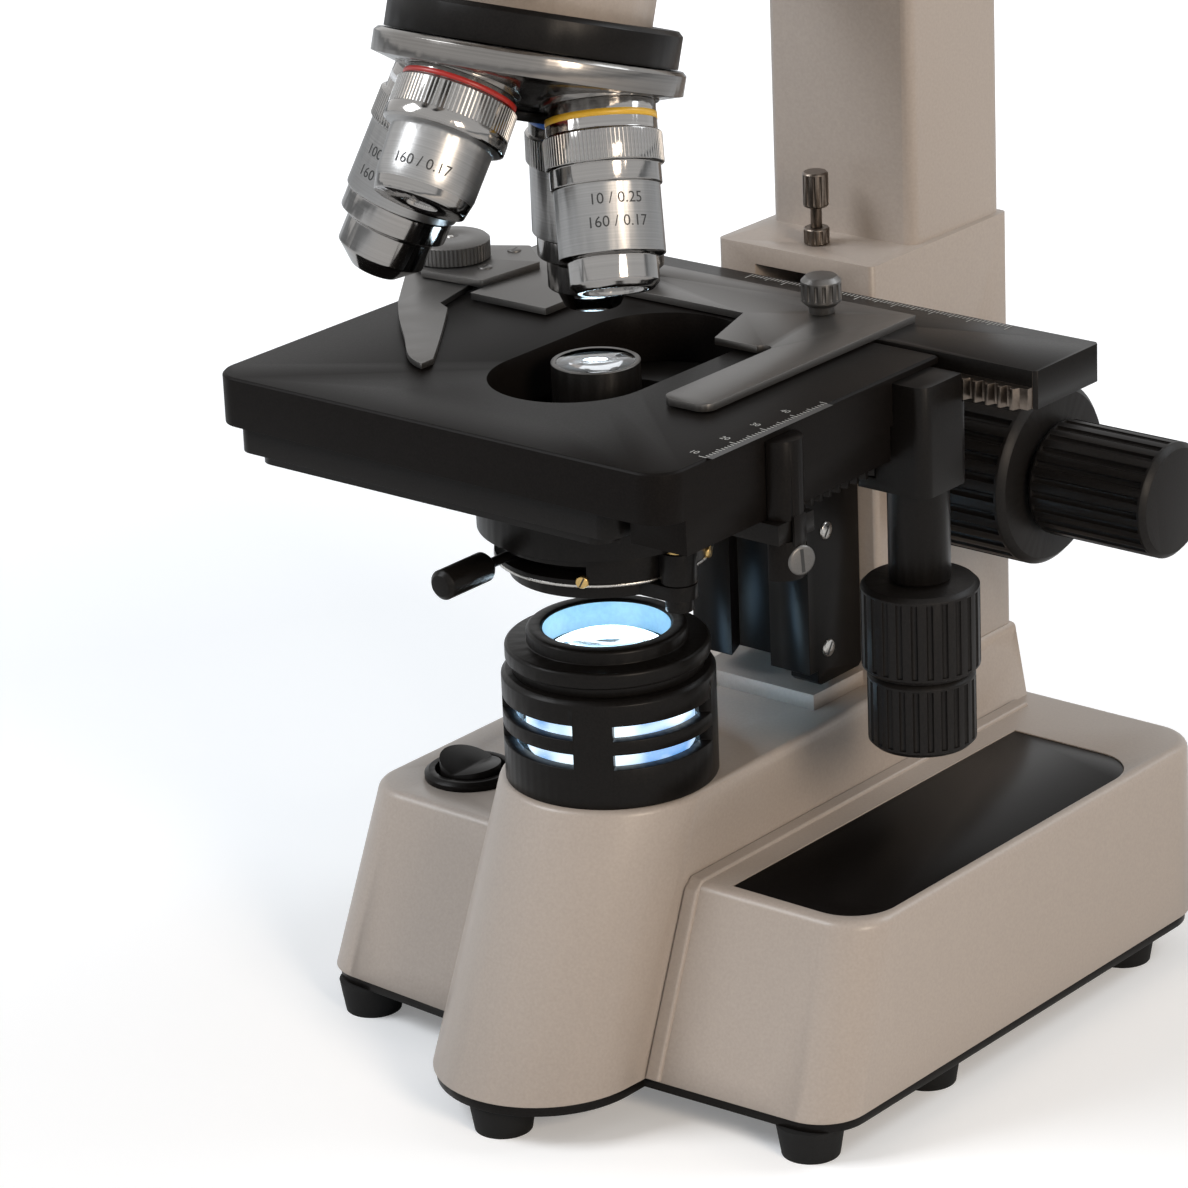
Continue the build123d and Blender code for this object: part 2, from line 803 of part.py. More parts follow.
def make_arm():
    """Stand arm: guide block, column, and overhang with the head ring and nosepiece boss."""
    with BuildPart() as arm:
        with BuildSketch(Plane.YZ) as side:
            Polygon(
                (column_front, hump_top), (arm_rear, hump_top), (arm_rear, arm_top),
                (arm_front, arm_top), (arm_front, arm_nose_low), (condenser_flange, arm_underside),
                (column_front, arm_underside), align=None,
            )
            corners = side.vertices()
            fillet(corners.sort_by_distance((arm_rear, arm_top))[0], arm_outer_curve)
            fillet(corners.sort_by_distance((column_front, arm_underside))[0], arm_inner_curve)
            fillet(corners.sort_by_distance((arm_front, arm_top))[0], arm_nose_round)
        extrude(amount=arm_half_width, both=True)
        fillet(arm.faces().filter_by(Axis.X).edges(), arm_edge_round)
        box_between((-block_half_width, block_front, hump_top),
                    (block_half_width, arm_rear, block_top))
        block_corners = arm.edges().filter_by(Axis.Z).filter_by(
            lambda e: abs(abs(e.center().X) - block_half_width) < 0.01)
        fillet(block_corners, block_round)
        box_between((-toe_half_width, toe_front, hump_top),
                    (toe_half_width, block_front + 1, toe_top))
        with BuildSketch(Plane.XY.offset(head_ring_low)):
            Circle(head_ring_radius)
        extrude(amount=head_ring_top - head_ring_low)
        with BuildSketch(Plane(origin=apex, x_dir=(1, 0, 0), z_dir=turret_up).offset(-mount_high)):
            Circle(arm_boss_radius)
        extrude(amount=16)
        box_between((-guide_slot_half_width, block_front - 1, guide_slot_low),
                    (guide_slot_half_width, guide_slot_rear, guide_slot_high), Mode.SUBTRACT)
        bore(Plane(origin=(-block_half_width - 1, focus_y, focus_z), z_dir=(1, 0, 0)),
             coarse_shaft_radius + running, 2 * block_half_width + 2)
        bore(Plane.XY.offset(head_ring_top - head_socket_depth), head_socket_radius,
             head_socket_depth + 1)
        bore(Plane.XY.offset(arm_underside - 20), light_path_radius, 70)
        bore(Plane((0, stop_y, guide_slot_high - 1)), stop_radius + running, 10)
        bore(Plane(origin=(head_ring_radius + 1, 0, head_clamp_z), z_dir=(-1, 0, 0)),
             head_clamp_radius + running, 10)
    arm.part.label = "arm"
    export_step(arm.part, "parts/arm.step")


def make_stop_screw():
    """Upper stop of the coarse focus: knurled screw with its lock nut."""
    with BuildPart() as stop_screw:
        knob((0, stop_y, stop_head_low), (0, 0, 1), stop_nut_radius, stop_head_height, 12,
             edge=0.4, groove=0.3)
        turned([(0, stop_tip), (stop_radius, stop_tip), (stop_radius, stop_head_low + 1),
                (0, stop_head_low + 1)], (0, stop_y, 0))
    stop_screw.part.label = "stop_screw"
    export_step(stop_screw.part, "parts/stop_screw.step")
    with BuildPart() as stop_lock_nut:
        knob((0, stop_y, block_top), (0, 0, 1), stop_nut_radius, stop_nut_height, 12,
             edge=0.3, groove=0.3)
        bore(Plane((0, stop_y, block_top - 1)), stop_radius + running, stop_nut_height + 2)
    stop_lock_nut.part.label = "stop_lock_nut"
    export_step(stop_lock_nut.part, "parts/stop_lock_nut.step")


def make_coarse_focus():
    """Hollow coarse shaft with its pinion, its two knobs, and the tension ring."""
    reach = coarse_knob_start + coarse_knob_width
    wall = block_half_width + passing
    with BuildPart() as shaft:
        turned([(fine_shaft_radius + running, -reach + 1), (coarse_shaft_radius, -reach + 1),
                (coarse_shaft_radius, -guide_slot_half_width),
                (coarse_gear_neck, -guide_slot_half_width),
                (coarse_gear_neck, guide_slot_half_width),
                (coarse_shaft_radius, guide_slot_half_width), (coarse_shaft_radius, reach - 1),
                (fine_shaft_radius + running, reach - 1)], (0, focus_y, focus_z), (1, 0, 0))
        plane = Plane(origin=(-rack_half_width, focus_y, focus_z), x_dir=(0, -1, 0),
                      z_dir=(1, 0, 0))
        extrude(outline(plane, pinion_points(pinion_teeth, 0)), amount=2 * rack_half_width)
        bore(Plane(origin=(-reach, focus_y, focus_z), z_dir=(1, 0, 0)),
             fine_shaft_radius + running, 2 * reach)
    shaft.part.label = "coarse_shaft"
    export_step(shaft.part, "parts/coarse_shaft.step")
    with BuildPart() as knobs:
        for side in (-1, 1):
            start = (side * coarse_knob_start, focus_y, focus_z)
            knob(start, (side, 0, 0), coarse_knob_radius, coarse_knob_width, 30, 1.5, 1.0)
        bore(Plane(origin=(-reach - 1, focus_y, focus_z), z_dir=(1, 0, 0)),
             coarse_shaft_radius, 2 * reach + 2)
    knobs.part.label = "coarse_knobs"
    export_step(knobs.part, "parts/coarse_knobs.step")
    with BuildPart() as ring:
        length = coarse_knob_start - wall - passing
        knob((wall, focus_y, focus_z), (1, 0, 0), tension_ring_radius, length, 36, 0.5, 0.5)
        bore(Plane(origin=(wall - 1, focus_y, focus_z), z_dir=(1, 0, 0)),
             coarse_shaft_radius + running, length + 2)
    ring.part.label = "tension_ring"
    export_step(ring.part, "parts/tension_ring.step")


def make_fine_focus():
    with BuildPart() as shaft:
        with Locations(Plane(origin=(0, focus_y, focus_z), z_dir=(1, 0, 0))):
            Cylinder(fine_shaft_radius, 2 * fine_knob_end - 8)
    shaft.part.label = "fine_shaft"
    export_step(shaft.part, "parts/fine_shaft.step")
    width = fine_knob_end - fine_knob_start
    with BuildPart() as knobs:
        for side in (-1, 1):
            start = (side * fine_knob_start, focus_y, focus_z)
            knob(start, (side, 0, 0), fine_knob_radius, width, 24, 1.2, 0.8)
            bore(Plane(origin=start, z_dir=(side, 0, 0)), fine_shaft_radius, width - 4)
    knobs.part.label = "fine_knobs"
    export_step(knobs.part, "parts/fine_knobs.step")


def make_focus_guide():
    """Slide that runs in the arm's slot, with the coarse rack on its rear face."""
    half = guide_slot_half_width - running
    with BuildPart() as guide:
        box_between((-half, guide_front, guide_low), (half, guide_rear, guide_high))
        box_between((-key_half_width - running, guide_front - 1, guide_low - 1),
                    (key_half_width + running, guide_front + key_depth + running,
                     guide_high + 1), Mode.SUBTRACT)
        pitch_line = focus_y - pitch_radius
        plane = Plane(origin=(-rack_half_width, pitch_line, focus_z), x_dir=(0, 0, 1),
                      z_dir=(1, 0, 0))
        rack = rack_points(rack_low - focus_z, rack_high - focus_z, 0, pitch_line - guide_rear)
        extrude(outline(plane, rack), amount=2 * rack_half_width)
    guide.part.label = "focus_guide"
    export_step(guide.part, "parts/focus_guide.step")


def make_stage_bracket():
    """Upright plate that carries the stage: keyed to the focus slide, grooved in front."""
    with BuildPart() as bracket:
        box_between((-carriage_half_width, carriage_front, carriage_low),
                    (carriage_half_width, carriage_rear, base_plate_low))
        box_between((carriage_half_width - gib_width, carriage_front + 3, gib_low),
                    (carriage_half_width, carriage_rear, carriage_low))
        box_between((-key_half_width, carriage_rear, guide_low),
                    (key_half_width, guide_front + key_depth, base_plate_low))
        with BuildSketch(Plane.XY.offset(carriage_low)):
            Polygon(
                (-dovetail_narrow, carriage_front), (dovetail_narrow, carriage_front),
                (dovetail_wide, carriage_front + dovetail_depth),
                (-dovetail_wide, carriage_front + dovetail_depth), align=None,
            )
        extrude(amount=base_plate_low - carriage_low, mode=Mode.SUBTRACT)
        chamfer(bracket.edges().filter_by(Axis.X).group_by(Axis.Z)[0], 1)
    bracket.part.label = "stage_bracket"
    export_step(bracket.part, "parts/stage_bracket.step")


def make_stage_base_plate():
    """Fixed lower plate of the stage with the Y rack under its right edge."""
    middle_x = (base_plate_left + base_plate_right) / 2
    middle_y = (base_plate_front + base_plate_rear) / 2
    width = base_plate_right - base_plate_left
    depth = base_plate_rear - base_plate_front
    with BuildPart() as plate:
        with BuildSketch(Plane((middle_x, middle_y, base_plate_step))):
            RectangleRounded(width, depth, 4)
        extrude(amount=base_plate_top - base_plate_step)
        with BuildSketch(Plane((middle_x, middle_y, base_plate_low))):
            RectangleRounded(width - base_plate_margin, depth - base_plate_margin / 2, 4)
        extrude(amount=base_plate_step - base_plate_low)
        box_between((y_rack_left, y_rack_front, y_rack_high),
                    (base_plate_right, y_rack_rear, base_plate_step))
        pitch_line = control_x - pitch_radius
        rack_plane = Plane(origin=(pitch_line, control_y, y_rack_low), x_dir=(0, 1, 0),
                           z_dir=(0, 0, 1))
        rack = rack_points(y_rack_front - control_y, y_rack_rear - control_y, 0,
                           pitch_line - y_rack_left)
        extrude(outline(rack_plane, rack), amount=y_rack_high - y_rack_low)
        box_between((y_rack_left, index_post_y - 6, y_rack_low),
                    (base_plate_right, index_post_y + 6, base_plate_step))
        box_between((base_plate_right, index_post_y - 6, y_rack_low),
                    (stage_right + 4, index_post_y + 6, y_rack_high))
        bore(Plane.XY.offset(base_plate_low - 1), condenser_hole_radius, 12)
    plate.part.label = "stage_base_plate"
    export_step(plate.part, "parts/stage_base_plate.step")


def make_index_post():
    """Half-round post beside the stage that carries the Y index line."""
    flat = stage_right + passing
    with BuildPart() as post:
        with BuildSketch(Plane((flat, index_post_y, index_post_low))):
            Circle(index_post_radius)
            with Locations((-index_post_radius, 0)):
                Rectangle(2 * index_post_radius, 2 * index_post_radius, mode=Mode.SUBTRACT)
        extrude(amount=index_post_high - index_post_low)
        box_between((flat - 1, index_post_y - 7, y_rack_low - 0.1),
                    (flat + 4.3, index_post_y + 7, y_rack_high + 0.1), Mode.SUBTRACT)
        box_between((flat + 4.2, index_post_y - 2, y_rack_low - 1),
                    (flat + index_post_radius, index_post_y + 2, y_rack_high + 1))
    post.part.label = "index_post"
    export_step(post.part, "parts/index_post.step")


def make_stage_top_plate():
    """Moving stage plate with a long aperture, a right skirt and a rear ledge."""
    with BuildPart() as plate:
        with BuildSketch(Plane.XY.offset(plate_low)) as top:
            Polygon((stage_left, stage_front), (stage_right, stage_front),
                    (stage_right, stage_rear), (stage_left, stage_rear), align=None)
            fillet(top.vertices().group_by(Axis.Y)[0], stage_corner)
        extrude(amount=stage_plate_thickness)
        box_between((skirt_left, stage_front + stage_corner, skirt_low),
                    (stage_right, skirt_rear, plate_low))
        box_between((stage_left, stage_rear - 6, plate_low), (stage_right, ledge_rear, ledge_top))
        box_between((stage_left - 1, x_rack_front, ledge_top),
                    (stage_right + 1, stage_rear + 1, x_rack_high + 0.4), Mode.SUBTRACT)
        with BuildSketch(Plane.XY.offset(plate_low - 1)):
            with Locations((aperture_x, (aperture_front + aperture_rear) / 2)):
                SlotOverall(aperture_rear - aperture_front, 2 * aperture_radius, rotation=90)
        extrude(amount=stage_plate_thickness + 2, mode=Mode.SUBTRACT)
        box_between((housing_left - running, housing_front - running, plate_low - 9),
                    (stage_right + 1, stage_rear + 1, housing_high + running), Mode.SUBTRACT)
        chamfer(plate.faces().filter_by(Axis.Z).sort_by(Axis.Z)[-1].outer_wire().edges(), 0.5)
    plate.part.label = "stage_top_plate"
    export_step(plate.part, "parts/stage_top_plate.step")


def make_control_housing():
    """Gear housing of the coaxial stage control, with wells for both pinions."""
    rack_gap = 0.4
    with BuildPart() as housing:
        box_between((housing_left, housing_front, housing_low),
                    (housing_right, housing_rear, housing_high))
        outer = housing.edges().filter_by(Axis.Z).group_by(Axis.X)[-1]
        fillet(outer, 3)
        turned([(0, sleeve_low), (sleeve_radius, sleeve_low), (sleeve_radius, housing_low + 1),
                (0, housing_low + 1)], (control_x, control_y, 0))
        bore(Plane((control_x, control_y, sleeve_low - 1)), outer_shaft_radius + running,
             y_rack_low - sleeve_low + 1)
        bore(Plane((control_x, control_y, y_rack_low - rack_gap)), gear_well_radius,
             y_rack_high - y_rack_low + 2 * rack_gap)
        bore(Plane((control_x, control_y, y_rack_high)), inner_shaft_radius + running,
             x_rack_low - y_rack_high)
        bore(Plane((control_x, control_y, x_rack_low - rack_gap)), gear_well_radius,
             x_rack_high - x_rack_low + 2 * rack_gap)
        box_between((housing_left - 1, housing_front - 1, y_rack_low - rack_gap),
                    (control_x - pitch_radius + 1.2, housing_rear + 1, y_rack_high + rack_gap),
                    Mode.SUBTRACT)
        box_between((housing_left - 1, x_rack_front, x_rack_low - rack_gap),
                    (housing_right + 1, housing_rear + 1, housing_high + 1), Mode.SUBTRACT)
        box_between((housing_left - 1, x_rack_front, ledge_top),
                    (stage_right, housing_rear + 1, x_rack_low), Mode.SUBTRACT)
    housing.part.label = "control_housing"
    export_step(housing.part, "parts/control_housing.step")


def make_stage_knobs():
    """Two coaxial knobs: the upper one moves the stage in Y, the lower one in X."""
    gap = 0.3
    with BuildPart() as upper:
        knob((control_x, control_y, upper_knob_low), (0, 0, 1), upper_knob_radius,
             upper_knob_high - upper_knob_low, 24, 1, 0.7)
        turned([(0, upper_knob_high - 1), (outer_shaft_radius, upper_knob_high - 1),
                (outer_shaft_radius, y_rack_low + gap), (0, y_rack_low + gap)],
               (control_x, control_y, 0))
        plane = Plane((control_x, control_y, y_rack_low + gap))
        extrude(outline(plane, pinion_points(pinion_teeth, pi)),
                amount=y_rack_high - y_rack_low - 2 * gap)
        bore(Plane((control_x, control_y, upper_knob_low - 1)), inner_shaft_radius + running, 60)
    upper.part.label = "y_control_knob"
    export_step(upper.part, "parts/y_control_knob.step")
    with BuildPart() as lower:
        knob((control_x, control_y, lower_knob_low), (0, 0, 1), lower_knob_radius,
             upper_knob_low - passing - lower_knob_low, 24, 1, 0.7)
        turned([(0, lower_knob_low + 5), (inner_shaft_radius, lower_knob_low + 5),
                (inner_shaft_radius, x_rack_high), (0, x_rack_high)], (control_x, control_y, 0))
        plane = Plane((control_x, control_y, x_rack_low - 0.1))
        extrude(outline(plane, pinion_points(pinion_teeth, pi / 2)),
                amount=x_rack_high - x_rack_low)
    lower.part.label = "x_control_knob"
    export_step(lower.part, "parts/x_control_knob.step")


def make_x_rack_bar():
    """Cross bar of the specimen slide with the X rack along its front face."""
    with BuildPart() as bar:
        box_between((bar_left, bar_front, bar_low), (bar_right, bar_rear, bar_top))
        chamfer(bar.edges().filter_by(Axis.Z), 0.8)
        pitch_line = control_y + pitch_radius
        plane = Plane((control_x, pitch_line, x_rack_low))
        rack = rack_points(bar_left + 1 - control_x, bar_right - 1 - control_x, 0,
                           bar_front - pitch_line)
        extrude(outline(plane, rack), amount=x_rack_high - x_rack_low)
        for x in (thumb_screw_left_x, thumb_screw_right_x):
            bore(Plane((x, thumb_screw_y, bar_top - thumb_stem_depth - 0.5)),
                 thumb_stem_radius + running, thumb_stem_depth + 1)
    bar.part.label = "x_rack_bar"
    export_step(bar.part, "parts/x_rack_bar.step")


def make_slide_holder():
    """Flat specimen holder: a rear band, a left block and a fixed jaw with a corner relief."""
    with BuildPart() as holder:
        with BuildSketch(Plane.XY.offset(bar_top)) as plan:
            Polygon(
                (holder_left, holder_rear), (holder_left, holder_pocket_y),
                (left_block_left, holder_pocket_y), (left_block_left, left_block_y),
                (left_block_right, left_block_y), (left_block_right, holder_pocket_y),
                (holder_pocket_x, holder_pocket_y), (holder_block_x, holder_block_y),
                (holder_arm_left, holder_block_y), (holder_arm_left, holder_arm_tip),
                (holder_right, holder_arm_tip), (holder_right, holder_rear), align=None,
            )
            fillet(plan.vertices().group_by(Axis.Y)[0], 3)
            with Locations((holder_arm_left - holder_relief, holder_block_y)):
                Circle(holder_relief, mode=Mode.SUBTRACT)
        extrude(amount=sheet)
        for x in (thumb_screw_left_x, thumb_screw_right_x):
            bore(Plane((x, thumb_screw_y, bar_top - 1)), thumb_stem_radius + running, 4)
    holder.part.label = "slide_holder"
    export_step(holder.part, "parts/slide_holder.step")


def make_finger():
    """Sprung specimen finger under its clamp plate, with the pivot cap above."""
    pivot = (finger_pivot_x, finger_pivot_y)
    with BuildPart() as clamp_plate:
        with BuildSketch(Plane((*pivot, holder_top))) as plan:
            Polygon((0, -11), (17.3, -10), (19.3, 8), (9.3, 16.6), (0, 11), align=None)
            fillet(plan.vertices(), 1)
            Circle(finger_eye_radius + 2)
            Circle(finger_pin_radius + running, mode=Mode.SUBTRACT)
        extrude(amount=sheet)
    clamp_plate.part.label = "finger_clamp_plate"
    export_step(clamp_plate.part, "parts/finger_clamp_plate.step")
    with BuildPart() as finger:
        with BuildSketch(Plane((*pivot, bar_top))):
            with BuildLine():
                Polyline((-5.7, -4), (-5.7, -9), (7.8, -27))
                Spline((7.8, -27), (17.8, -37.6), (28.3, -47.7), (37.3, -55.7), (41.3, -57.2))
                Line((41.3, -57.2), (41.1, -53.3))
                Spline((41.1, -53.3), (32.3, -40.9), (20.1, -24.5))
                Polyline((20.1, -24.5), (16.3, -22.6), (12.7, -7.5), (6.3, -6), (-5.7, -4))
            make_face()
            Circle(finger_eye_radius)
        extrude(amount=sheet - 0.3)
    finger.part.label = "slide_finger"
    export_step(finger.part, "parts/slide_finger.step")
    with BuildPart() as cap:
        low = clamp_plate_top + passing
        knob((*pivot, low), (0, 0, 1), finger_cap_radius, finger_cap_height, 20, 0.5, 0.4)
        turned([(0, bar_top + sheet - 0.3), (finger_pin_radius, bar_top + sheet - 0.3),
                (finger_pin_radius, low + 1), (0, low + 1)], (*pivot, 0))
    cap.part.label = "finger_cap"
    export_step(cap.part, "parts/finger_cap.step")


def make_thumb_screw(name, x):
    """Knurled screw that holds the specimen holder on the cross bar."""
    seat = holder_top + passing
    head = seat + thumb_collar_height
    with BuildPart() as screw:
        knob((x, thumb_screw_y, head), (0, 0, 1), thumb_head_radius, thumb_head_height, 16,
             edge=1.0, groove=0.4)
        turned([(0, bar_top - thumb_stem_depth), (thumb_stem_radius, bar_top - thumb_stem_depth),
                (thumb_stem_radius, seat), (thumb_collar_radius, seat),
                (thumb_collar_radius, head + 1), (0, head + 1)], (x, thumb_screw_y, 0))
    screw.part.label = name
    export_step(screw.part, f"parts/{name}.step")


def make_condenser_carrier():
    """Ring that holds the condenser, on an arm with a dovetail at its rear."""
    clear = dovetail_depth - passing
    slope = (dovetail_wide - dovetail_narrow) / dovetail_depth
    neck = dovetail_narrow - 2 * running
    foot = neck + slope * clear
    with BuildPart() as carrier:
        with BuildSketch(Plane.XY.offset(carrier_low)):
            Circle(carrier_radius)
            with Locations((0, (carriage_front - passing) / 2)):
                Rectangle(2 * carrier_arm_half_width, carriage_front - passing)
            Polygon(
                (-neck, carriage_front - 1), (neck, carriage_front - 1), (neck, carriage_front),
                (foot, carriage_front + clear), (-foot, carriage_front + clear),
                (-neck, carriage_front), align=None,
            )
            Circle(condenser_sleeve + running, mode=Mode.SUBTRACT)
        extrude(amount=carrier_high - carrier_low)
        bore(Plane(origin=(-carrier_radius - 1, 0, clamp_knob_z), z_dir=(1, 0, 0)),
             clamp_screw_radius + running, 9)
        bore(Plane(origin=(-condenser_knob_start, condenser_knob_y, condenser_knob_z),
                   z_dir=(1, 0, 0)), condenser_shaft_radius + running, 36)
    carrier.part.label = "condenser_carrier"
    export_step(carrier.part, "parts/condenser_carrier.step")


def make_condenser_body():
    """Substage condenser: iris flange, sleeve, shoulder and nose, hollow along its axis."""
    with BuildPart() as body:
        turned([(iris_ring_bore, condenser_low), (condenser_flange, condenser_low),
                (condenser_flange, condenser_flange_high),
                (condenser_sleeve, condenser_flange_high), (condenser_sleeve, carrier_high + 1),
                (condenser_shoulder_radius, carrier_high + 1),
                (condenser_shoulder_radius, condenser_shoulder_z),
                (condenser_nose_radius, condenser_neck_z), (condenser_nose_radius, condenser_top),
                (condenser_lens_radius, condenser_top), (condenser_lens_radius, condenser_lens_low),
                (condenser_nose_radius - 2, condenser_lens_low),
                (condenser_nose_radius - 2, condenser_neck_z - 3),
                (iris_ring_bore, condenser_shoulder_z - 3)])
        with BuildSketch(Plane((filter_pivot_x, filter_pivot_y, condenser_low))):
            Circle(filter_lug_radius)
        extrude(amount=condenser_flange_high - condenser_low)
        with BuildSketch(Plane.XY.offset(iris_ring_low - iris_gap)):
            Circle(iris_ring_radius + iris_gap)
            with Locations((-6, -20)):
                Rectangle(36, 28)
        extrude(amount=iris_ring_high - iris_ring_low + 2 * iris_gap, mode=Mode.SUBTRACT)
        turned([(0, condenser_low - filter_thickness - 3.2),
                (3, condenser_low - filter_thickness - 3.2),
                (3, condenser_low - filter_thickness - 2 * passing),
                (filter_pin_radius, condenser_low - filter_thickness - 2 * passing),
                (filter_pin_radius, condenser_low + 1), (0, condenser_low + 1)],
               (filter_pivot_x, filter_pivot_y, 0))
    body.part.label = "condenser_body"
    export_step(body.part, "parts/condenser_body.step")
    with BuildPart() as lens:
        edge = condenser_lens_radius - running
        turned([(0, condenser_lens_low), (edge, condenser_lens_low), (edge, condenser_top),
                (0, condenser_top)])
    lens.part.label = "condenser_lens"
    export_step(lens.part, "parts/condenser_lens.step")


def make_condenser_controls():
    """Focus knob and clamp screw of the condenser, both on its left."""
    with BuildPart() as focus:
        start = (-condenser_knob_start, condenser_knob_y, condenser_knob_z)
        knob(start, (-1, 0, 0), condenser_knob_radius, condenser_knob_width, 20, 1, 0.6)
        turned([(0, -34), (condenser_shaft_radius, -34), (condenser_shaft_radius, 1), (0, 1)],
               start, (-1, 0, 0))
    focus.part.label = "condenser_focus_knob"
    export_step(focus.part, "parts/condenser_focus_knob.step")
    with BuildPart() as clamp:
        start = (-clamp_knob_start, 0, clamp_knob_z)
        knob(start, (-1, 0, 0), clamp_knob_radius, clamp_knob_width, 20, 1, 0.6)
        tip = clamp_knob_start - condenser_sleeve - 0.4
        turned([(0, -tip), (clamp_screw_radius, -tip), (clamp_screw_radius, -6), (4, -6), (4, 1),
                (0, 1)], start, (-1, 0, 0))
    clamp.part.label = "condenser_clamp_screw"
    export_step(clamp.part, "parts/condenser_clamp_screw.step")


def make_iris_lever():
    """Iris ring in the condenser's slot with a lever and its round handle."""
    middle = (iris_ring_low + iris_ring_high) / 2
    ring_edge = -sqrt(iris_ring_radius ** 2 - lever_x ** 2)
    with BuildPart() as lever:
        with BuildSketch(Plane.XY.offset(iris_ring_low)):
            Circle(iris_ring_radius)
            Circle(iris_ring_bore, mode=Mode.SUBTRACT)
        extrude(amount=iris_ring_high - iris_ring_low)
        turned([(0, -ring_edge - 2), (lever_rod_radius, -ring_edge - 2),
                (lever_rod_radius, -lever_rod_end), (lever_handle_radius - 0.8, -lever_rod_end),
                (lever_handle_radius, -lever_rod_end + 1), (lever_handle_radius, -lever_end - 1),
                (lever_handle_radius - 1, -lever_end), (0, -lever_end)],
               (lever_x, 0, middle), (0, -1, 0))
    lever.part.label = "iris_lever"
    export_step(lever.part, "parts/iris_lever.step")


def make_filter_holder():
    """Swing-out filter ring under the condenser."""
    top = condenser_low - passing
    with BuildPart() as holder:
        with BuildSketch(Plane.XY.offset(top - filter_thickness)):
            Circle(filter_radius)
            with Locations((filter_pivot_x, filter_pivot_y)):
                Circle(filter_lug_radius)
            with Locations((filter_pivot_x - 4, filter_pivot_y)):
                Rectangle(8, 2 * filter_lug_radius)
            with Locations((-filter_radius - filter_tab_length / 2 + 1, 0)):
                RectangleRounded(filter_tab_length + 4, 8, 2)
            Circle(filter_bore, mode=Mode.SUBTRACT)
            with Locations((filter_pivot_x, filter_pivot_y)):
                Circle(filter_pin_radius + running, mode=Mode.SUBTRACT)
        extrude(amount=filter_thickness)
        with BuildSketch(Plane.XY.offset(top - 2.2)):
            Circle(filter_bore + 1.2)
        extrude(amount=2.2, mode=Mode.SUBTRACT)
    holder.part.label = "filter_holder"
    export_step(holder.part, "parts/filter_holder.step")


def make_nosepiece_mount():
    """Fixed upper plate of the nosepiece with the pin that the turret turns on."""
    plate = turret_high - passing
    with BuildPart() as mount:
        turned([(0, -plate), (mount_radius, -plate), (mount_radius, -mount_high - 1),
                (mount_radius - 1, -mount_high), (0, -mount_high)], apex, turret_up)
        turned([(0, -turret_nose - passing - turret_pin_head),
                (turret_pin_head_radius - 1, -turret_nose - passing - turret_pin_head),
                (turret_pin_head_radius, -turret_nose - passing - 0.8),
                (turret_pin_head_radius, -turret_nose - passing),
                (turret_pin_radius, -turret_nose - passing), (turret_pin_radius, -plate + 1),
                (0, -plate + 1)], apex, turret_up)
        bore(Plane.XY.offset(turret_apex - 70), light_path_radius, 40)
    mount.part.label = "nosepiece_mount"
    export_step(mount.part, "parts/nosepiece_mount.step")


def objective_direction(azimuth):
    """Unit vector from the common point down one objective's axis."""
    lean = sin(turret_tilt)
    side = lean * sin(azimuth)
    rise = lean * cos(azimuth)
    return Vector(side, rise * cos(turret_tilt) - cos(turret_tilt) * sin(turret_tilt),
                  -rise * sin(turret_tilt) - cos(turret_tilt) * cos(turret_tilt))


def make_turret():
    """Turret: chrome rim, cone face and four seats square to the objective axes."""
    with BuildPart() as turret:
        turned([(0, -turret_nose), (turret_nose_radius, -turret_nose),
                (turret_radius, -turret_rim), (turret_radius, -turret_high - 0.8),
                (turret_radius - 0.8, -turret_high), (0, -turret_high)], apex, turret_up)
        bore(Plane(origin=apex, z_dir=turret_up).offset(-80), turret_pin_radius + running, 40)
        for quarter in range(4):
            down = objective_direction(quarter * pi / 2)
            seat = Vector(apex) + down * seat_distance
            plane = Plane(origin=seat, z_dir=-down)
            with BuildSketch(plane) as pad:
                Circle(seat_radius)
            extrude(amount=4)
            bore(plane.offset(-1), thread_radius + running, thread_length + 1.5)
            bore(plane.offset(-1), light_path_radius, 30)
    turret.part.label = "nosepiece_turret"
    export_step(turret.part, "parts/nosepiece_turret.step")


def make_objective(name, azimuth, profile):
    """Hollow objective: a stepped barrel given as (radius, distance below the seat)."""
    down = objective_direction(azimuth)
    seat = Vector(apex) + down * seat_distance
    tip_radius, tip = profile[-1]
    with BuildPart() as objective:
        points = [(objective_bore, -thread_length), (thread_radius, -thread_length),
                  (thread_radius, 0)] + profile
        points += [(tip_radius - 1.2, tip), (tip_radius - 1.2, tip - 2),
                   (min(objective_bore, tip_radius - 1.2), tip - 5)]
        turned(points, seat, down)
    objective.part.label = name
    export_step(objective.part, f"parts/{name}.step")
    return seat + down * (tip - 2), down, tip_radius - 1.25


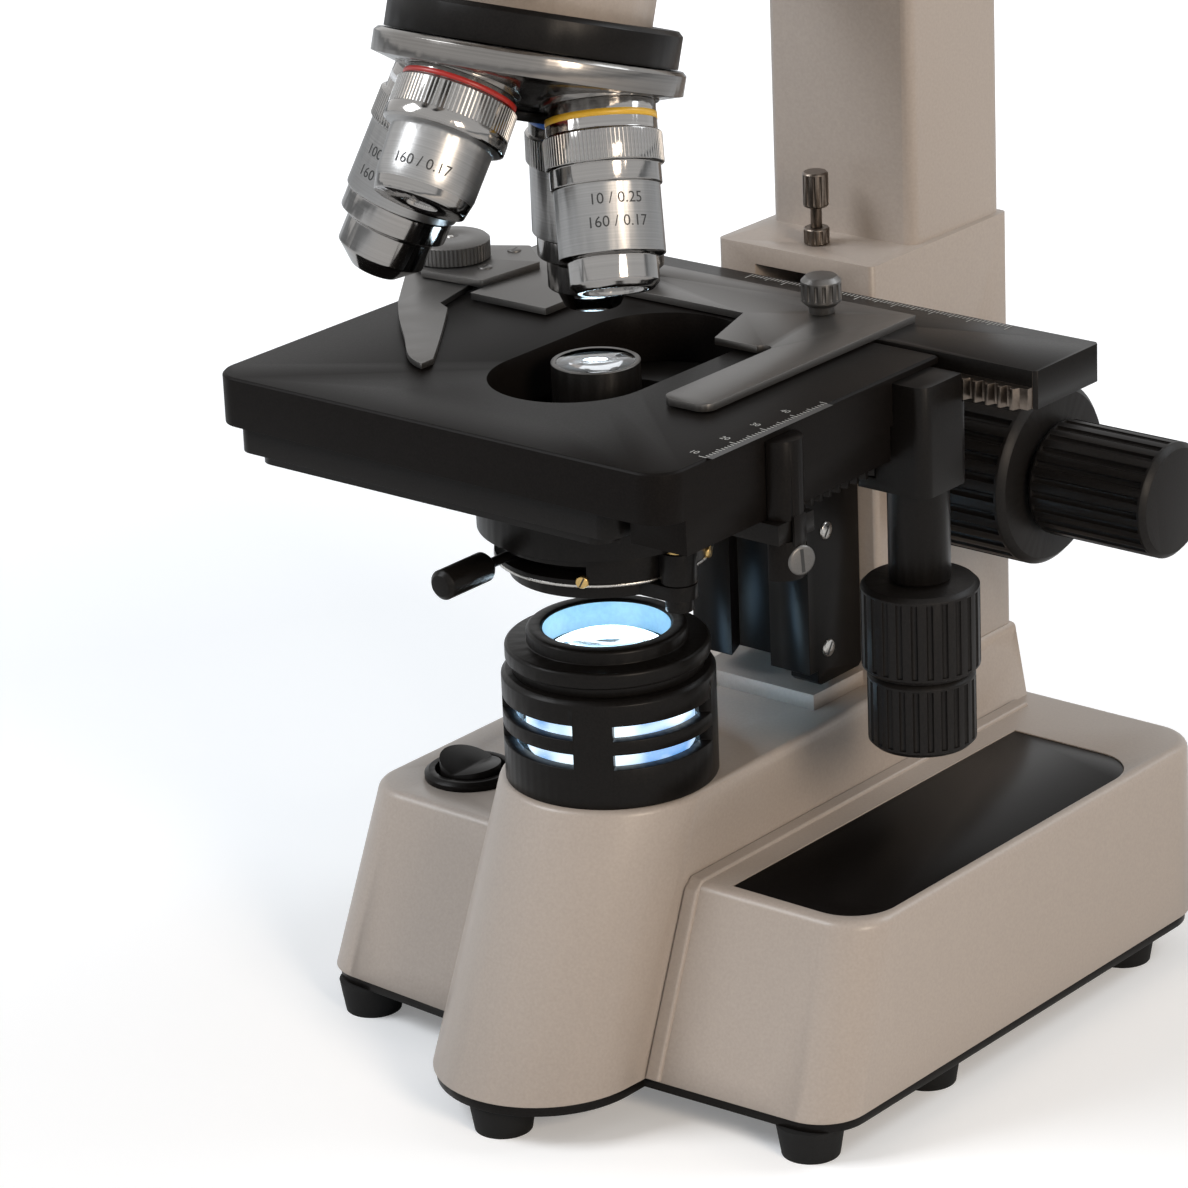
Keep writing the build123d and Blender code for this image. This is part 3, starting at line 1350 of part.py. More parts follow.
def make_objectives():
    low_power = [(12, 0), (12, 2.2), (12.7, 2.5), (12.7, 8.5), (12.9, 8.8), (12.9, 11.2),
                 (10.8, 12.2), (10.5, 22), (9.6, 26), (5, 26)]
    medium_power = [(11.4, 0), (11.4, 6.1), (12.1, 6.4), (12.1, 12.7), (11.4, 13), (11.4, 16.8),
                    (10.9, 17), (10.9, 31), (9.2, 31.6), (9.2, 36.5), (7.8, 38)]
    high_power = [(12, 0), (12, 6.1), (12.8, 6.4), (12.8, 12.7), (12.2, 13), (12.2, 28),
                  (11.3, 28.3), (11.3, 33), (9.4, 34), (9.4, 40), (7.6, 41), (6, 44.4)]
    oil_immersion = [(12, 0), (12, 6.1), (12.8, 6.4), (12.8, 12.7), (12.2, 13), (12.2, 28),
                     (11.6, 28.3), (11.6, 33), (9.5, 34), (9.5, 40), (5, 44)]
    names = ["objective_40x", "objective_10x", "objective_4x", "objective_100x"]
    profiles = [high_power, medium_power, low_power, oil_immersion]
    fronts = []
    for quarter, (name, profile) in enumerate(zip(names, profiles)):
        fronts.append(make_objective(name, quarter * pi / 2, profile))
    with BuildPart() as lenses:
        for place, down, radius in fronts:
            with BuildSketch(Plane(origin=place, z_dir=down)) as disc:
                Circle(radius)
            extrude(amount=1.2)
    lenses.part.label = "objective_lenses"
    export_step(lenses.part, "parts/objective_lenses.step")


def make_head_body():
    """Head: flange in the arm's ring, prism housing and the pin of the eyepiece hinge."""
    rise = (0, sin(head_rise), cos(head_rise))
    front_top = (hub_y + 24 * rise[1], hub_z + 24 * rise[2])
    front_low = (hub_y - 24 * rise[1], hub_z - 24 * rise[2])
    with BuildPart() as body:
        with BuildSketch(Plane.YZ) as side:
            Polygon((head_rear, head_disc_high - 1), (head_rear, head_top), front_top, front_low,
                    (front_low[0] + 8, head_disc_high - 1), align=None)
        extrude(amount=head_half_width, both=True)
        fillet(body.edges().filter_by(Axis.Z).group_by(Axis.Y)[-1], 10)
        fillet(body.faces().filter_by(Axis.X).edges(), 2.5)
        turned([(0, head_ring_top - head_socket_depth + 0.1),
                (head_socket_radius - running, head_ring_top - head_socket_depth + 0.1),
                (head_socket_radius - running, head_low), (head_ring_radius, head_low),
                (head_ring_radius, head_disc_high), (0, head_disc_high)])
        turned([(0, -1), (hub_pin_radius, -1), (hub_pin_radius, 2 * hub_layer + 2 * passing),
                (hub_cap_radius, 2 * hub_layer + 2 * passing),
                (hub_cap_radius, 2 * hub_layer + hub_cap_thickness - 0.6),
                (hub_cap_radius - 0.8, 2 * hub_layer + hub_cap_thickness),
                (0, 2 * hub_layer + hub_cap_thickness)], hub, head_out)
        bore(Plane.XY.offset(head_ring_top - head_socket_depth - 1), light_path_radius, 30)
        bore(Plane(origin=(head_half_width + 1, splitter_y, splitter_z), z_dir=(-1, 0, 0)),
             splitter_radius + running, splitter_depth + 2)
        bore(Plane((0, photo_tube_y, head_top - 12)), light_path_radius, 14)
    body.part.label = "head_body"
    export_step(body.part, "parts/head_body.step")


def make_photo_tube():
    with BuildPart() as tube:
        turned([(photo_bore, head_top), (photo_flange_radius, head_top),
                (photo_flange_radius, head_top + photo_flange_height),
                (photo_tube_radius, head_top + photo_flange_height),
                (photo_tube_radius, photo_tube_top - 1), (photo_tube_radius - 1, photo_tube_top),
                (photo_bore + 0.6, photo_tube_top), (photo_bore, photo_tube_top - 0.6)],
               (0, photo_tube_y, 0))
    tube.part.label = "photo_tube"
    export_step(tube.part, "parts/photo_tube.step")


def make_head_controls():
    """Clamp screw of the head and pull rod of the beam splitter, both on the right."""
    with BuildPart() as clamp:
        start = (head_ring_radius + 1.5, 0, head_clamp_z)
        knob(start, (1, 0, 0), head_clamp_knob_radius, head_clamp_knob_length, 16, 0.6, 0.4)
        turned([(0, -8), (head_clamp_radius, -8), (head_clamp_radius, 1), (0, 1)],
               start, (1, 0, 0))
    clamp.part.label = "head_clamp_screw"
    export_step(clamp.part, "parts/head_clamp_screw.step")
    with BuildPart() as rod:
        turned([(0, -splitter_depth), (splitter_radius, -splitter_depth),
                (splitter_radius, splitter_reach - splitter_knob_length),
                (splitter_knob_radius, splitter_reach - splitter_knob_length),
                (splitter_knob_radius, splitter_reach - 0.8),
                (splitter_knob_radius - 0.8, splitter_reach), (0, splitter_reach)],
               (head_half_width, splitter_y, splitter_z), (1, 0, 0))
    rod.part.label = "beam_splitter_rod"
    export_step(rod.part, "parts/beam_splitter_rod.step")


def make_ocular(side, name, eyepiece_name, layer):
    """One eyepiece arm of the hinge, with its tube, and the eyepiece in it."""
    across = Vector(cos(ocular_rest_angle) * side, sin(ocular_rest_angle) * sin(head_rise),
                    sin(ocular_rest_angle) * cos(head_rise))
    centre = Vector(hub) + across * ocular_arm
    outward = Vector(head_out)
    hinge_plane = Plane(origin=hub, x_dir=across, z_dir=head_out)
    low = passing + layer * (hub_layer + passing)
    full = 2 * hub_layer + passing
    taper = (hub_radius - ocular_housing_radius) / ocular_arm
    edge = sqrt(1 - taper ** 2)
    with BuildPart() as housing:
        with BuildSketch(hinge_plane.offset(low)):
            Circle(hub_radius)
            with Locations((ocular_arm, 0)):
                Circle(ocular_housing_radius)
            Polygon(
                (hub_radius * taper, hub_radius * edge), (hub_radius * taper, -hub_radius * edge),
                (ocular_arm + ocular_housing_radius * taper, -ocular_housing_radius * edge),
                (ocular_arm + ocular_housing_radius * taper, ocular_housing_radius * edge),
                align=None,
            )
        extrude(amount=hub_layer)
        turned([(0, passing), (ocular_housing_radius, passing), (ocular_housing_radius, full),
                (ocular_tube_radius, full + 1), (ocular_tube_radius, ocular_tube_end),
                (eyepiece_radius + running, ocular_tube_end),
                (eyepiece_radius + running, ocular_bore_start), (0, ocular_bore_start)],
               centre, outward)
        bore(hinge_plane.offset(low - 1), hub_pin_radius + running, hub_layer + 2)
    housing.part.label = name
    export_step(housing.part, f"parts/{name}.step")
    with BuildPart() as eyepiece:
        turned([(eyepiece_radius - 1.4, ocular_tube_end - eyepiece_sleeve),
                (eyepiece_radius, ocular_tube_end - eyepiece_sleeve),
                (eyepiece_radius, ocular_tube_end), (eyepiece_body_radius - 0.8, ocular_tube_end),
                (eyepiece_body_radius, ocular_tube_end + 0.8),
                (eyepiece_body_radius, eyepiece_end - 18), (eye_rim_radius, eyepiece_end - 16),
                (eye_rim_radius, eyepiece_end), (eye_rim_radius - 2, eyepiece_end),
                (eye_lens_radius + 1, eyepiece_end - 7), (eye_lens_radius, eyepiece_end - 7),
                (eye_lens_radius - 2, eyepiece_end - 6.4), (0, eyepiece_end - 6),
                (0, eyepiece_end - 12), (eyepiece_radius - 1.4, eyepiece_end - 14)],
               centre, outward)
    eyepiece.part.label = eyepiece_name
    export_step(eyepiece.part, f"parts/{eyepiece_name}.step")
    return centre


def make_diopter_ring(centre):
    with BuildPart() as ring:
        start = centre + Vector(head_out) * diopter_low
        knob(start, head_out, diopter_radius, diopter_width, 36, 0.6, 0.5)
        bore(Plane(origin=start, z_dir=head_out).offset(-1), ocular_tube_radius + running,
             diopter_width + 2)
    ring.part.label = "diopter_ring"
    export_step(ring.part, "parts/diopter_ring.step")


make_base_housing()
make_inlay_panel()
make_bottom_plate()
make_rubber_feet()
make_lamp_housing()
make_lamp_collar()
make_collector_lens()
make_led_module()
make_switch_bezel()
make_power_rocker()
make_brightness_dial()
make_power_inlet()
make_fuse_cap()
make_arm()
make_stop_screw()
make_coarse_focus()
make_fine_focus()
make_focus_guide()
make_stage_bracket()
make_stage_base_plate()
make_index_post()
make_stage_top_plate()
make_control_housing()
make_stage_knobs()
make_x_rack_bar()
make_slide_holder()
make_finger()
make_thumb_screw("thumb_screw_left", thumb_screw_left_x)
make_thumb_screw("thumb_screw_right", thumb_screw_right_x)
make_condenser_carrier()
make_condenser_body()
make_condenser_controls()
make_iris_lever()
make_filter_holder()
make_nosepiece_mount()
make_turret()
make_objectives()
make_head_body()
make_photo_tube()
make_head_controls()
left_centre = make_ocular(-1, "left_tube_housing", "left_eyepiece", 1)
make_ocular(1, "right_tube_housing", "right_eyepiece", 0)
make_diopter_ring(left_centre)
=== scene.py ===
"""Looks of a trinocular microscope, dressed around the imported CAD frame, in metres."""
from math import cos, pi, radians, sin

import bpy
from mathutils import Matrix, Vector


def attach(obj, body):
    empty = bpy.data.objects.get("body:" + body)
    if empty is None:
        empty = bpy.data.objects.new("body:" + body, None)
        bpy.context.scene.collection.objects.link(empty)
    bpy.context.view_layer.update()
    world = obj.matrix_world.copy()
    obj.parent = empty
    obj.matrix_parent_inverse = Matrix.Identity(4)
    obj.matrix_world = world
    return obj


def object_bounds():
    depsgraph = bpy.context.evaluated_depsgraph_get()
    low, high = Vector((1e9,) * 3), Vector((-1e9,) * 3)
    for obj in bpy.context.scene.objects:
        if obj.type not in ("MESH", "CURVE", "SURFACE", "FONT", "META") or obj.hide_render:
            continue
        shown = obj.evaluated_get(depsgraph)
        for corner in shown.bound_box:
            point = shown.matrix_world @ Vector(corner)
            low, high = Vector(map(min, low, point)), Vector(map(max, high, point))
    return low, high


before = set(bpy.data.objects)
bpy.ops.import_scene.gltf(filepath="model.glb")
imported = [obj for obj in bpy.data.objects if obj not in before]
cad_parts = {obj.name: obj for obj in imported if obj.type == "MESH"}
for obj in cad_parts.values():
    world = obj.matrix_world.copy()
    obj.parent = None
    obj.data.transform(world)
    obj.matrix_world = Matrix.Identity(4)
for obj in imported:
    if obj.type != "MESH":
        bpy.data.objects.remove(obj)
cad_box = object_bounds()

MM = 0.001

# The nosepiece, as in the part's source
TURRET_TILT = radians(17.36)
TURRET_APEX = Vector((0, 0, 288.65 * MM))
SEAT_DISTANCE = 67.0 * MM
TURRET_UP = Vector((0, sin(TURRET_TILT), cos(TURRET_TILT)))

# The photograph's camera, fitted to the object
CAMERA_YAW = radians(40.35)
CAMERA_PITCH = radians(20.75)
CAMERA_ROLL = radians(-2.44)
CAMERA_PLACE = Vector((0.6456, -0.7637, 0.4905))
FOCAL_PIXELS = 4955.0
PHOTO_PIXELS = 1188.0
SENSOR_WIDTH = 36.0

UP = Vector((0, 0, 1))
GLASS_IOR = 1.5

# Heights of the stage's upper faces and of the ink that lies on them
STAGE_TOP = 164.8 * MM
BAR_TOP = 165.2 * MM
CLAMP_TOP = 168.4 * MM
INK_LIFT = 0.03 * MM
INK_THICKNESS = 0.02 * MM
HALF_TICK = 0.12 * MM


# Materials

def surface(name, colour, roughness, metallic=0.0, mottle=0.08, grain=900.0, bump=0.04,
            axis=None, specular=0.5):
    """Procedural surface: a fine grain moves the colour, the roughness and the height a little.

    With an axis the grain becomes turning marks, which run round that axis.
    """
    material = bpy.data.materials.new(name)
    material.use_nodes = True
    nodes = material.node_tree.nodes
    links = material.node_tree.links
    shader = nodes["Principled BSDF"]
    shader.inputs["Metallic"].default_value = metallic
    shader.inputs["Specular IOR Level"].default_value = specular
    place = nodes.new("ShaderNodeTexCoord")
    noise = nodes.new("ShaderNodeTexNoise")
    noise.inputs["Scale"].default_value = grain
    noise.inputs["Detail"].default_value = 5.0
    if axis is None:
        links.new(place.outputs["Object"], noise.inputs["Vector"])
    else:
        along = nodes.new("ShaderNodeVectorMath")
        along.operation = "DOT_PRODUCT"
        along.inputs[1].default_value = tuple(axis)
        noise.noise_dimensions = "1D"
        links.new(place.outputs["Object"], along.inputs[0])
        links.new(along.outputs["Value"], noise.inputs["W"])
    shades = nodes.new("ShaderNodeValToRGB")
    shades.color_ramp.elements[0].position = 0.3
    shades.color_ramp.elements[1].position = 0.7
    shades.color_ramp.elements[0].color = (*[c * (1 - mottle) for c in colour], 1)
    shades.color_ramp.elements[1].color = (*[min(1.0, c * (1 + mottle)) for c in colour], 1)
    gloss = nodes.new("ShaderNodeMapRange")
    gloss.inputs["To Min"].default_value = roughness * 0.85
    gloss.inputs["To Max"].default_value = min(1.0, roughness * 1.15)
    height = nodes.new("ShaderNodeBump")
    height.inputs["Strength"].default_value = bump
    height.inputs["Distance"].default_value = 0.1 * MM
    links.new(noise.outputs["Fac"], shades.inputs["Fac"])
    links.new(shades.outputs["Color"], shader.inputs["Base Color"])
    links.new(noise.outputs["Fac"], gloss.inputs["Value"])
    links.new(gloss.outputs["Result"], shader.inputs["Roughness"])
    links.new(noise.outputs["Fac"], height.inputs["Height"])
    links.new(height.outputs["Normal"], shader.inputs["Normal"])
    return material


def glowing(name, dim, bright, strength, patches=90.0):
    """A glowing surface with uneven patches between two colours: the lamp's own surfaces, and
    painted light on the collar's inner wall and in the condenser.
    """
    material = surface(name, bright, 0.4)
    nodes = material.node_tree.nodes
    links = material.node_tree.links
    shader = nodes["Principled BSDF"]
    place = nodes.new("ShaderNodeTexCoord")
    cloud = nodes.new("ShaderNodeTexNoise")
    cloud.inputs["Scale"].default_value = patches
    cloud.inputs["Detail"].default_value = 1.0
    shades = nodes.new("ShaderNodeValToRGB")
    shades.color_ramp.elements[0].position = 0.38
    shades.color_ramp.elements[1].position = 0.62
    shades.color_ramp.elements[0].color = (*dim, 1)
    shades.color_ramp.elements[1].color = (*bright, 1)
    links.new(place.outputs["Object"], cloud.inputs["Vector"])
    links.new(cloud.outputs["Fac"], shades.inputs["Fac"])
    links.new(shades.outputs["Color"], shader.inputs["Emission Color"])
    shader.inputs["Emission Strength"].default_value = strength
    return material


def clear_glass(name, tint):
    """Smooth clear glass with a slight tint."""
    material = surface(name, tint, 0.03, mottle=0.02, bump=0.0)
    shader = material.node_tree.nodes["Principled BSDF"]
    shader.inputs["Transmission Weight"].default_value = 1.0
    shader.inputs["IOR"].default_value = GLASS_IOR
    return material


enamel = surface("enamel", (0.37, 0.318, 0.277), 0.36, mottle=0.05, grain=1500, bump=0.08)
black_enamel = surface("black enamel", (0.006, 0.0052, 0.0047), 0.34, mottle=0.3, grain=2200,
                       bump=0.12, specular=0.12)
stage_coating = surface("stage coating", (0.006, 0.005, 0.0045), 0.4, mottle=0.3, grain=2600,
                        bump=0.12, specular=0.05)
black_gloss = surface("black gloss", (0.006, 0.005, 0.0045), 0.3, mottle=0.3, grain=2400,
                      bump=0.08, specular=0.08)
polished_black = surface("polished black", (0.01, 0.009, 0.008), 0.14, mottle=0.2, bump=0.01,
                         specular=0.35)
black_plastic = surface("black plastic", (0.0085, 0.0075, 0.007), 0.42, mottle=0.3, grain=1800,
                        bump=0.12, specular=0.15)
rubber = surface("rubber", (0.008, 0.008, 0.008), 0.75, mottle=0.3, grain=2500, bump=0.3,
                 specular=0.2)
nickel = surface("satin nickel", (0.13, 0.125, 0.12), 0.4, 0.85, mottle=0.08, grain=3000,
                 bump=0.12)
steel = surface("steel", (0.5, 0.49, 0.47), 0.28, 1.0, mottle=0.08, grain=1500, bump=0.05)
dark_steel = surface("dark steel", (0.15, 0.125, 0.105), 0.3, 1.0, mottle=0.12, grain=1500,
                     bump=0.05)
brass = surface("brass", (0.55, 0.38, 0.15), 0.3, 1.0, mottle=0.1, grain=1500, bump=0.05)
aluminium = surface("aluminium", (0.6, 0.6, 0.6), 0.35, 1.0, mottle=0.06, grain=1800, bump=0.05)
chrome = surface("chrome", (0.66, 0.66, 0.67), 0.12, 1.0, mottle=0.03, bump=0.01)
turret_metal = surface("turret metal", (0.2, 0.19, 0.18), 0.2, 1.0, mottle=0.12, grain=1600,
                       bump=0.03, axis=TURRET_UP)
white_ink = surface("white ink", (0.5, 0.5, 0.48), 0.6, mottle=0.05)
grey_ink = surface("grey ink", (0.05, 0.05, 0.05), 0.5, mottle=0.1)
# Printed numbers, and also the painted shade of the screw slots.
black_ink_and_slot_shade = surface("black ink and slot shade", (0.01, 0.01, 0.01), 0.5, mottle=0.1)
red_band = surface("red band", (0.36, 0.02, 0.015), 0.35, mottle=0.06)
yellow_band = surface("yellow band", (0.62, 0.36, 0.02), 0.35, mottle=0.06)
blue_band = surface("blue band", (0.03, 0.13, 0.5), 0.35, mottle=0.06)
white_band = surface("white band", (0.7, 0.7, 0.7), 0.35, mottle=0.06)
lens_glass = clear_glass("lens glass", (0.9, 0.94, 1.0))
lamp_blue = glowing("lamp blue", (0.10, 0.28, 0.62), (0.75, 0.9, 1.0), 1.3)
lamp_back = glowing("lamp back", (0.3, 0.6, 1.0), (0.6, 0.85, 1.0), 22.0)
# Shared by the lamp's emitter and diffuser and by the painted light of the glowing disc in the
# condenser.
lamp_core_and_painted_glow = glowing("lamp core and painted glow", (0.6, 0.85, 1.0), (0.9, 0.97, 1.0), 8.0, patches=200.0)
# Painted light: the collar's inner wall is pale blue and glows, standing in for the lamp's light
# falling on it.
collar_painted_light = glowing("collar painted light", (0.10, 0.26, 0.42), (0.3, 0.52, 0.7), 0.3)
board = surface("lamp board", (0.6, 0.62, 0.6), 0.5)


# Helpers

def dress(name, material, bevel=0.25 * MM):
    """Gives a CAD node its material, smooth shading and softly broken edges."""
    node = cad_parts[name]
    node.data.materials.clear()
    node.data.materials.append(material)
    for polygon in node.data.polygons:
        polygon.use_smooth = True
    weld = node.modifiers.new("weld", "WELD")
    weld.merge_threshold = 0.001 * MM
    if bevel > 0:
        soften = node.modifiers.new("soft edges", "BEVEL")
        soften.width = bevel
        soften.segments = 2
        soften.limit_method = "ANGLE"
        soften.angle_limit = radians(35)
        soften.harden_normals = True


def tint_faces(name, material, inside):
    """Gives the faces of a CAD node whose middle passes a test a second material."""
    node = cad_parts[name]
    node.data.materials.append(material)
    slot = len(node.data.materials) - 1
    for polygon in node.data.polygons:
        if inside(node.matrix_world @ polygon.center):
            polygon.material_index = slot


def add_mesh(name, points, faces, material, body, smooth=False):
    """A new piece of the scene, which moves with a body."""
    mesh = bpy.data.meshes.new(name)
    mesh.from_pydata(points, [], faces)
    mesh.materials.append(material)
    for polygon in mesh.polygons:
        polygon.use_smooth = smooth
    thing = bpy.data.objects.new(name.replace(" ", "_"), mesh)
    bpy.context.scene.collection.objects.link(thing)
    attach(thing, body)
    return thing


def axis_frame(axis, toward):
    """Unit vectors along an axis, toward a direction across it, and the third one."""
    along = Vector(axis).normalized()
    front = (Vector(toward) - along * along.dot(Vector(toward))).normalized()
    return along, front, along.cross(front)


def lathe(name, origin, axis, profile, material, body, steps=72, teeth=0, depth=0.0,
          start=0.0, sweep=2 * pi):
    """A turned piece: (radius, distance along the axis) points, with teeth round it if asked.

    A tooth takes four stations round the axis, and the last two of them lie deeper.
    """
    along, front, side = axis_frame(axis, (1, 0.3, 0.2))
    closed = sweep > 2 * pi - 0.01
    count = teeth * 4 if teeth else steps
    stations = count if closed else count + 1
    points = []
    for index in range(stations):
        angle = start + sweep * index / count
        ray = front * cos(angle) + side * sin(angle)
        cut = depth if teeth and index % 4 in (2, 3) else 0.0
        points += [Vector(origin) + ray * max(r - cut, 0.0) + along * t for r, t in profile]
    rows = len(profile)
    faces = []
    for index in range(count):
        here = index * rows
        there = (index + 1) % stations * rows
        for row in range(rows - 1):
            faces.append((here + row, there + row, there + row + 1, here + row + 1))
    add_mesh(name, points, faces, material, body, smooth=not teeth)


def ring_profile(inner, outer, start, end):
    """The profile of a plain ring."""
    return [(inner, start), (outer, start), (outer, end), (inner, end)]


def screw_head(name, place, normal, radius, material, body, height=0.6 * MM, turn=0.5):
    """A round screw head standing on a surface, with its slot drawn as a flat dark sheet of
    painted shade.
    """
    along, front, side = axis_frame(normal, (0.3, 1, 0.5))
    lathe(name, place, normal,
          [(0, height), (radius * 0.85, height), (radius, height * 0.6), (radius, -height)],
          material, body, steps=32)
    # Painted shade: the slot is no recess, only a flat black sheet on the head standing in for
    # the shade inside a slot.
    slot_dir = front * cos(turn) + side * sin(turn)
    slot_side = along.cross(slot_dir)
    half_length, half_width = radius * 0.8, radius * 0.13
    top = Vector(place) + along * (height + INK_THICKNESS)
    points = [top + slot_dir * a + slot_side * b for a, b in
              ((-half_length, -half_width), (half_length, -half_width),
               (half_length, half_width), (-half_length, half_width))]
    add_mesh(name + " slot", points, [(0, 1, 2, 3)], black_ink_and_slot_shade, body)


def text_mesh(text, size):
    """Points and faces of flat text, centred, from Blender's own font."""
    curve = bpy.data.curves.new("text", "FONT")
    curve.body = text
    curve.size = size
    curve.align_x = "CENTER"
    curve.align_y = "CENTER"
    curve.resolution_u = 3
    thing = bpy.data.objects.new("text", curve)
    bpy.context.scene.collection.objects.link(thing)
    graph = bpy.context.evaluated_depsgraph_get()
    mesh = bpy.data.meshes.new_from_object(thing.evaluated_get(graph))
    points = [tuple(v.co) for v in mesh.vertices]
    faces = [tuple(p.vertices) for p in mesh.polygons]
    bpy.data.objects.remove(thing)
    bpy.data.meshes.remove(mesh)
    return points, faces


def wrapped_text(name, text, size, origin, up, toward, radius, level, material, body):
    """Text round a barrel: up is the reading direction's top, toward is the side it faces."""
    top, front, _ = axis_frame(up, toward)
    right = top.cross(front)
    flat, faces = text_mesh(text, size)
    points = []
    for x, y, _ in flat:
        angle = x / radius
        ray = front * cos(angle) + right * sin(angle)
        points.append(Vector(origin) + ray * (radius + INK_LIFT) + top * (level + y))
    add_mesh(name, points, faces, material, body)


def flat_text(name, text, size, place, right, top, material, body):
    """Text on a flat face."""
    flat, faces = text_mesh(text, size)
    points = [Vector(place) + Vector(right) * x + Vector(top) * y for x, y, _ in flat]
    add_mesh(name, points, faces, material, body)


def rib(name, path, width, height, material, body):
    """A raised strip: path points, each with the direction across it and the one outward."""
    slope = 0.08
    points = []
    for place, across, outward in path:
        foot = Vector(place) * MM
        across = Vector(across).normalized() * width
        rise = Vector(outward).normalized() * height
        points += [foot - rise, foot + across * slope + rise, foot + across * (1 - slope) + rise,
                   foot + across - rise]
    faces = []
    for step in range(len(path) - 1):
        here, there = 4 * step, 4 * step + 4
        for corner in range(3):
            faces.append((here + corner, here + corner + 1, there + corner + 1, there + corner))
    strip = add_mesh(name, points, faces, material, body)
    soften = strip.modifiers.new("soft edges", "BEVEL")
    soften.width = 0.5 * MM
    soften.segments = 3
    soften.limit_method = "ANGLE"
    soften.angle_limit = radians(20)


def bar(name, low, high, material, body):
    """A small box given by two corners."""
    points = [(x, y, z) for x in (low[0], high[0]) for y in (low[1], high[1])
              for z in (low[2], high[2])]
    faces = [(0, 1, 3, 2), (4, 6, 7, 5), (0, 4, 5, 1), (2, 3, 7, 6), (0, 2, 6, 4), (1, 5, 7, 3)]
    add_mesh(name, points, faces, material, body)


def tick_reach(tick, long, middle, short):
    """Length of a scale's line: long at each ten, middle at each five, short elsewhere."""
    if tick % 10 == 0:
        return long
    if tick % 5 == 0:
        return middle
    return short


# CAD nodes

def dress_nodes():
    """Every node's material, and the faces that are bare metal or polished."""
    finishes = {
        enamel: ["base_housing", "arm", "head_body", "left_tube_housing", "right_tube_housing"],
        black_enamel: ["bottom_plate", "lamp_housing", "lamp_collar", "nosepiece_mount",
                       "stage_bracket", "stage_base_plate", "control_housing", "x_rack_bar",
                       "condenser_carrier", "condenser_body", "iris_lever", "filter_holder",
                       "photo_tube"],
        stage_coating: ["stage_top_plate"],
        black_gloss: ["inlay_panel", "index_post"],
        black_plastic: ["brightness_dial", "power_inlet", "fuse_cap", "coarse_knobs",
                        "tension_ring", "fine_knobs", "y_control_knob", "x_control_knob",
                        "condenser_clamp_screw", "condenser_focus_knob", "left_eyepiece",
                        "right_eyepiece", "diopter_ring"],
        rubber: ["rubber_feet"],
        steel: ["coarse_shaft", "fine_shaft"],
        dark_steel: ["stop_lock_nut", "stop_screw"],
        aluminium: ["focus_guide"],
        nickel: ["slide_holder", "finger_clamp_plate", "slide_finger", "finger_cap",
                 "thumb_screw_left", "thumb_screw_right"],
        chrome: ["head_clamp_screw", "beam_splitter_rod"],
        turret_metal: ["nosepiece_turret"],
        lens_glass: ["collector_lens", "condenser_lens", "objective_lenses"],
        board: ["led_module"],
    }
    for material, names in finishes.items():
        for name in names:
            dress(name, material)
    for name in ("switch_bezel", "power_rocker"):
        dress(name, black_gloss, bevel=0.1 * MM)
    rack_front = 42.0 * MM
    rack_low = 157.0 * MM
    rack_high = 161.6 * MM
    tint_faces("x_rack_bar", dark_steel,
               lambda at: at.y < rack_front and rack_low < at.z < rack_high)
    grip_top = 129.0 * MM
    for name in ("y_control_knob", "x_control_knob"):
        tint_faces(name, polished_black, lambda at: at.z > grip_top)


# Objectives

def objective_down(quarter):
    """Unit vector down the axis of the objective in one quarter of the nosepiece."""
    lean = sin(TURRET_TILT)
    azimuth = quarter * pi / 2
    across = Vector((0, cos(TURRET_TILT), -sin(TURRET_TILT)))
    return (-TURRET_UP * cos(TURRET_TILT) + across * lean * cos(azimuth)
            + Vector((1, 0, 0)) * lean * sin(azimuth))


def dress_objective(name, quarter, band, band_at, knurl_at, satin_at, barrel, lines, lines_at,
                    facing):
    """Brushed barrel, colour band, knurled grip and plain numbers of one objective.

    Each "at" gives millimetres below the seat, and for a ring its radius first.
    """
    down = objective_down(quarter)
    seat = TURRET_APEX + down * SEAT_DISTANCE
    polished = surface(name + " polished", (0.3, 0.29, 0.28), 0.12, 1.0, mottle=0.08,
                       grain=1600, bump=0.02, axis=down)
    satin = surface(name + " satin", (0.3, 0.297, 0.293), 0.32, 1.0, mottle=0.08, grain=2600,
                    bump=0.05, axis=down)
    dress("objective_" + name, polished, bevel=0.2 * MM)
    satin_start, satin_end = [v * MM for v in satin_at]
    tint_faces("objective_" + name, satin,
               lambda at: satin_start < (at - seat).dot(down) < satin_end)
    band_radius, band_start, band_end = [v * MM for v in band_at]
    lathe("band " + name, seat, down,
          ring_profile(band_radius - 0.4 * MM, band_radius + 0.06 * MM, band_start, band_end),
          band, "nosepiece")
    knurl_radius, knurl_start, knurl_end = [v * MM for v in knurl_at]
    lathe("knurl " + name, seat, down,
          ring_profile(knurl_radius - 0.5 * MM, knurl_radius + 0.1 * MM, knurl_start, knurl_end),
          satin, "nosepiece", teeth=90, depth=0.35 * MM)
    for line, level in zip(lines, lines_at):
        wrapped_text(f"number {name} {line}".replace("/", " "), line, 3.2 * MM, seat, -down,
                     facing, barrel * MM, -level * MM, black_ink_and_slot_shade, "nosepiece")


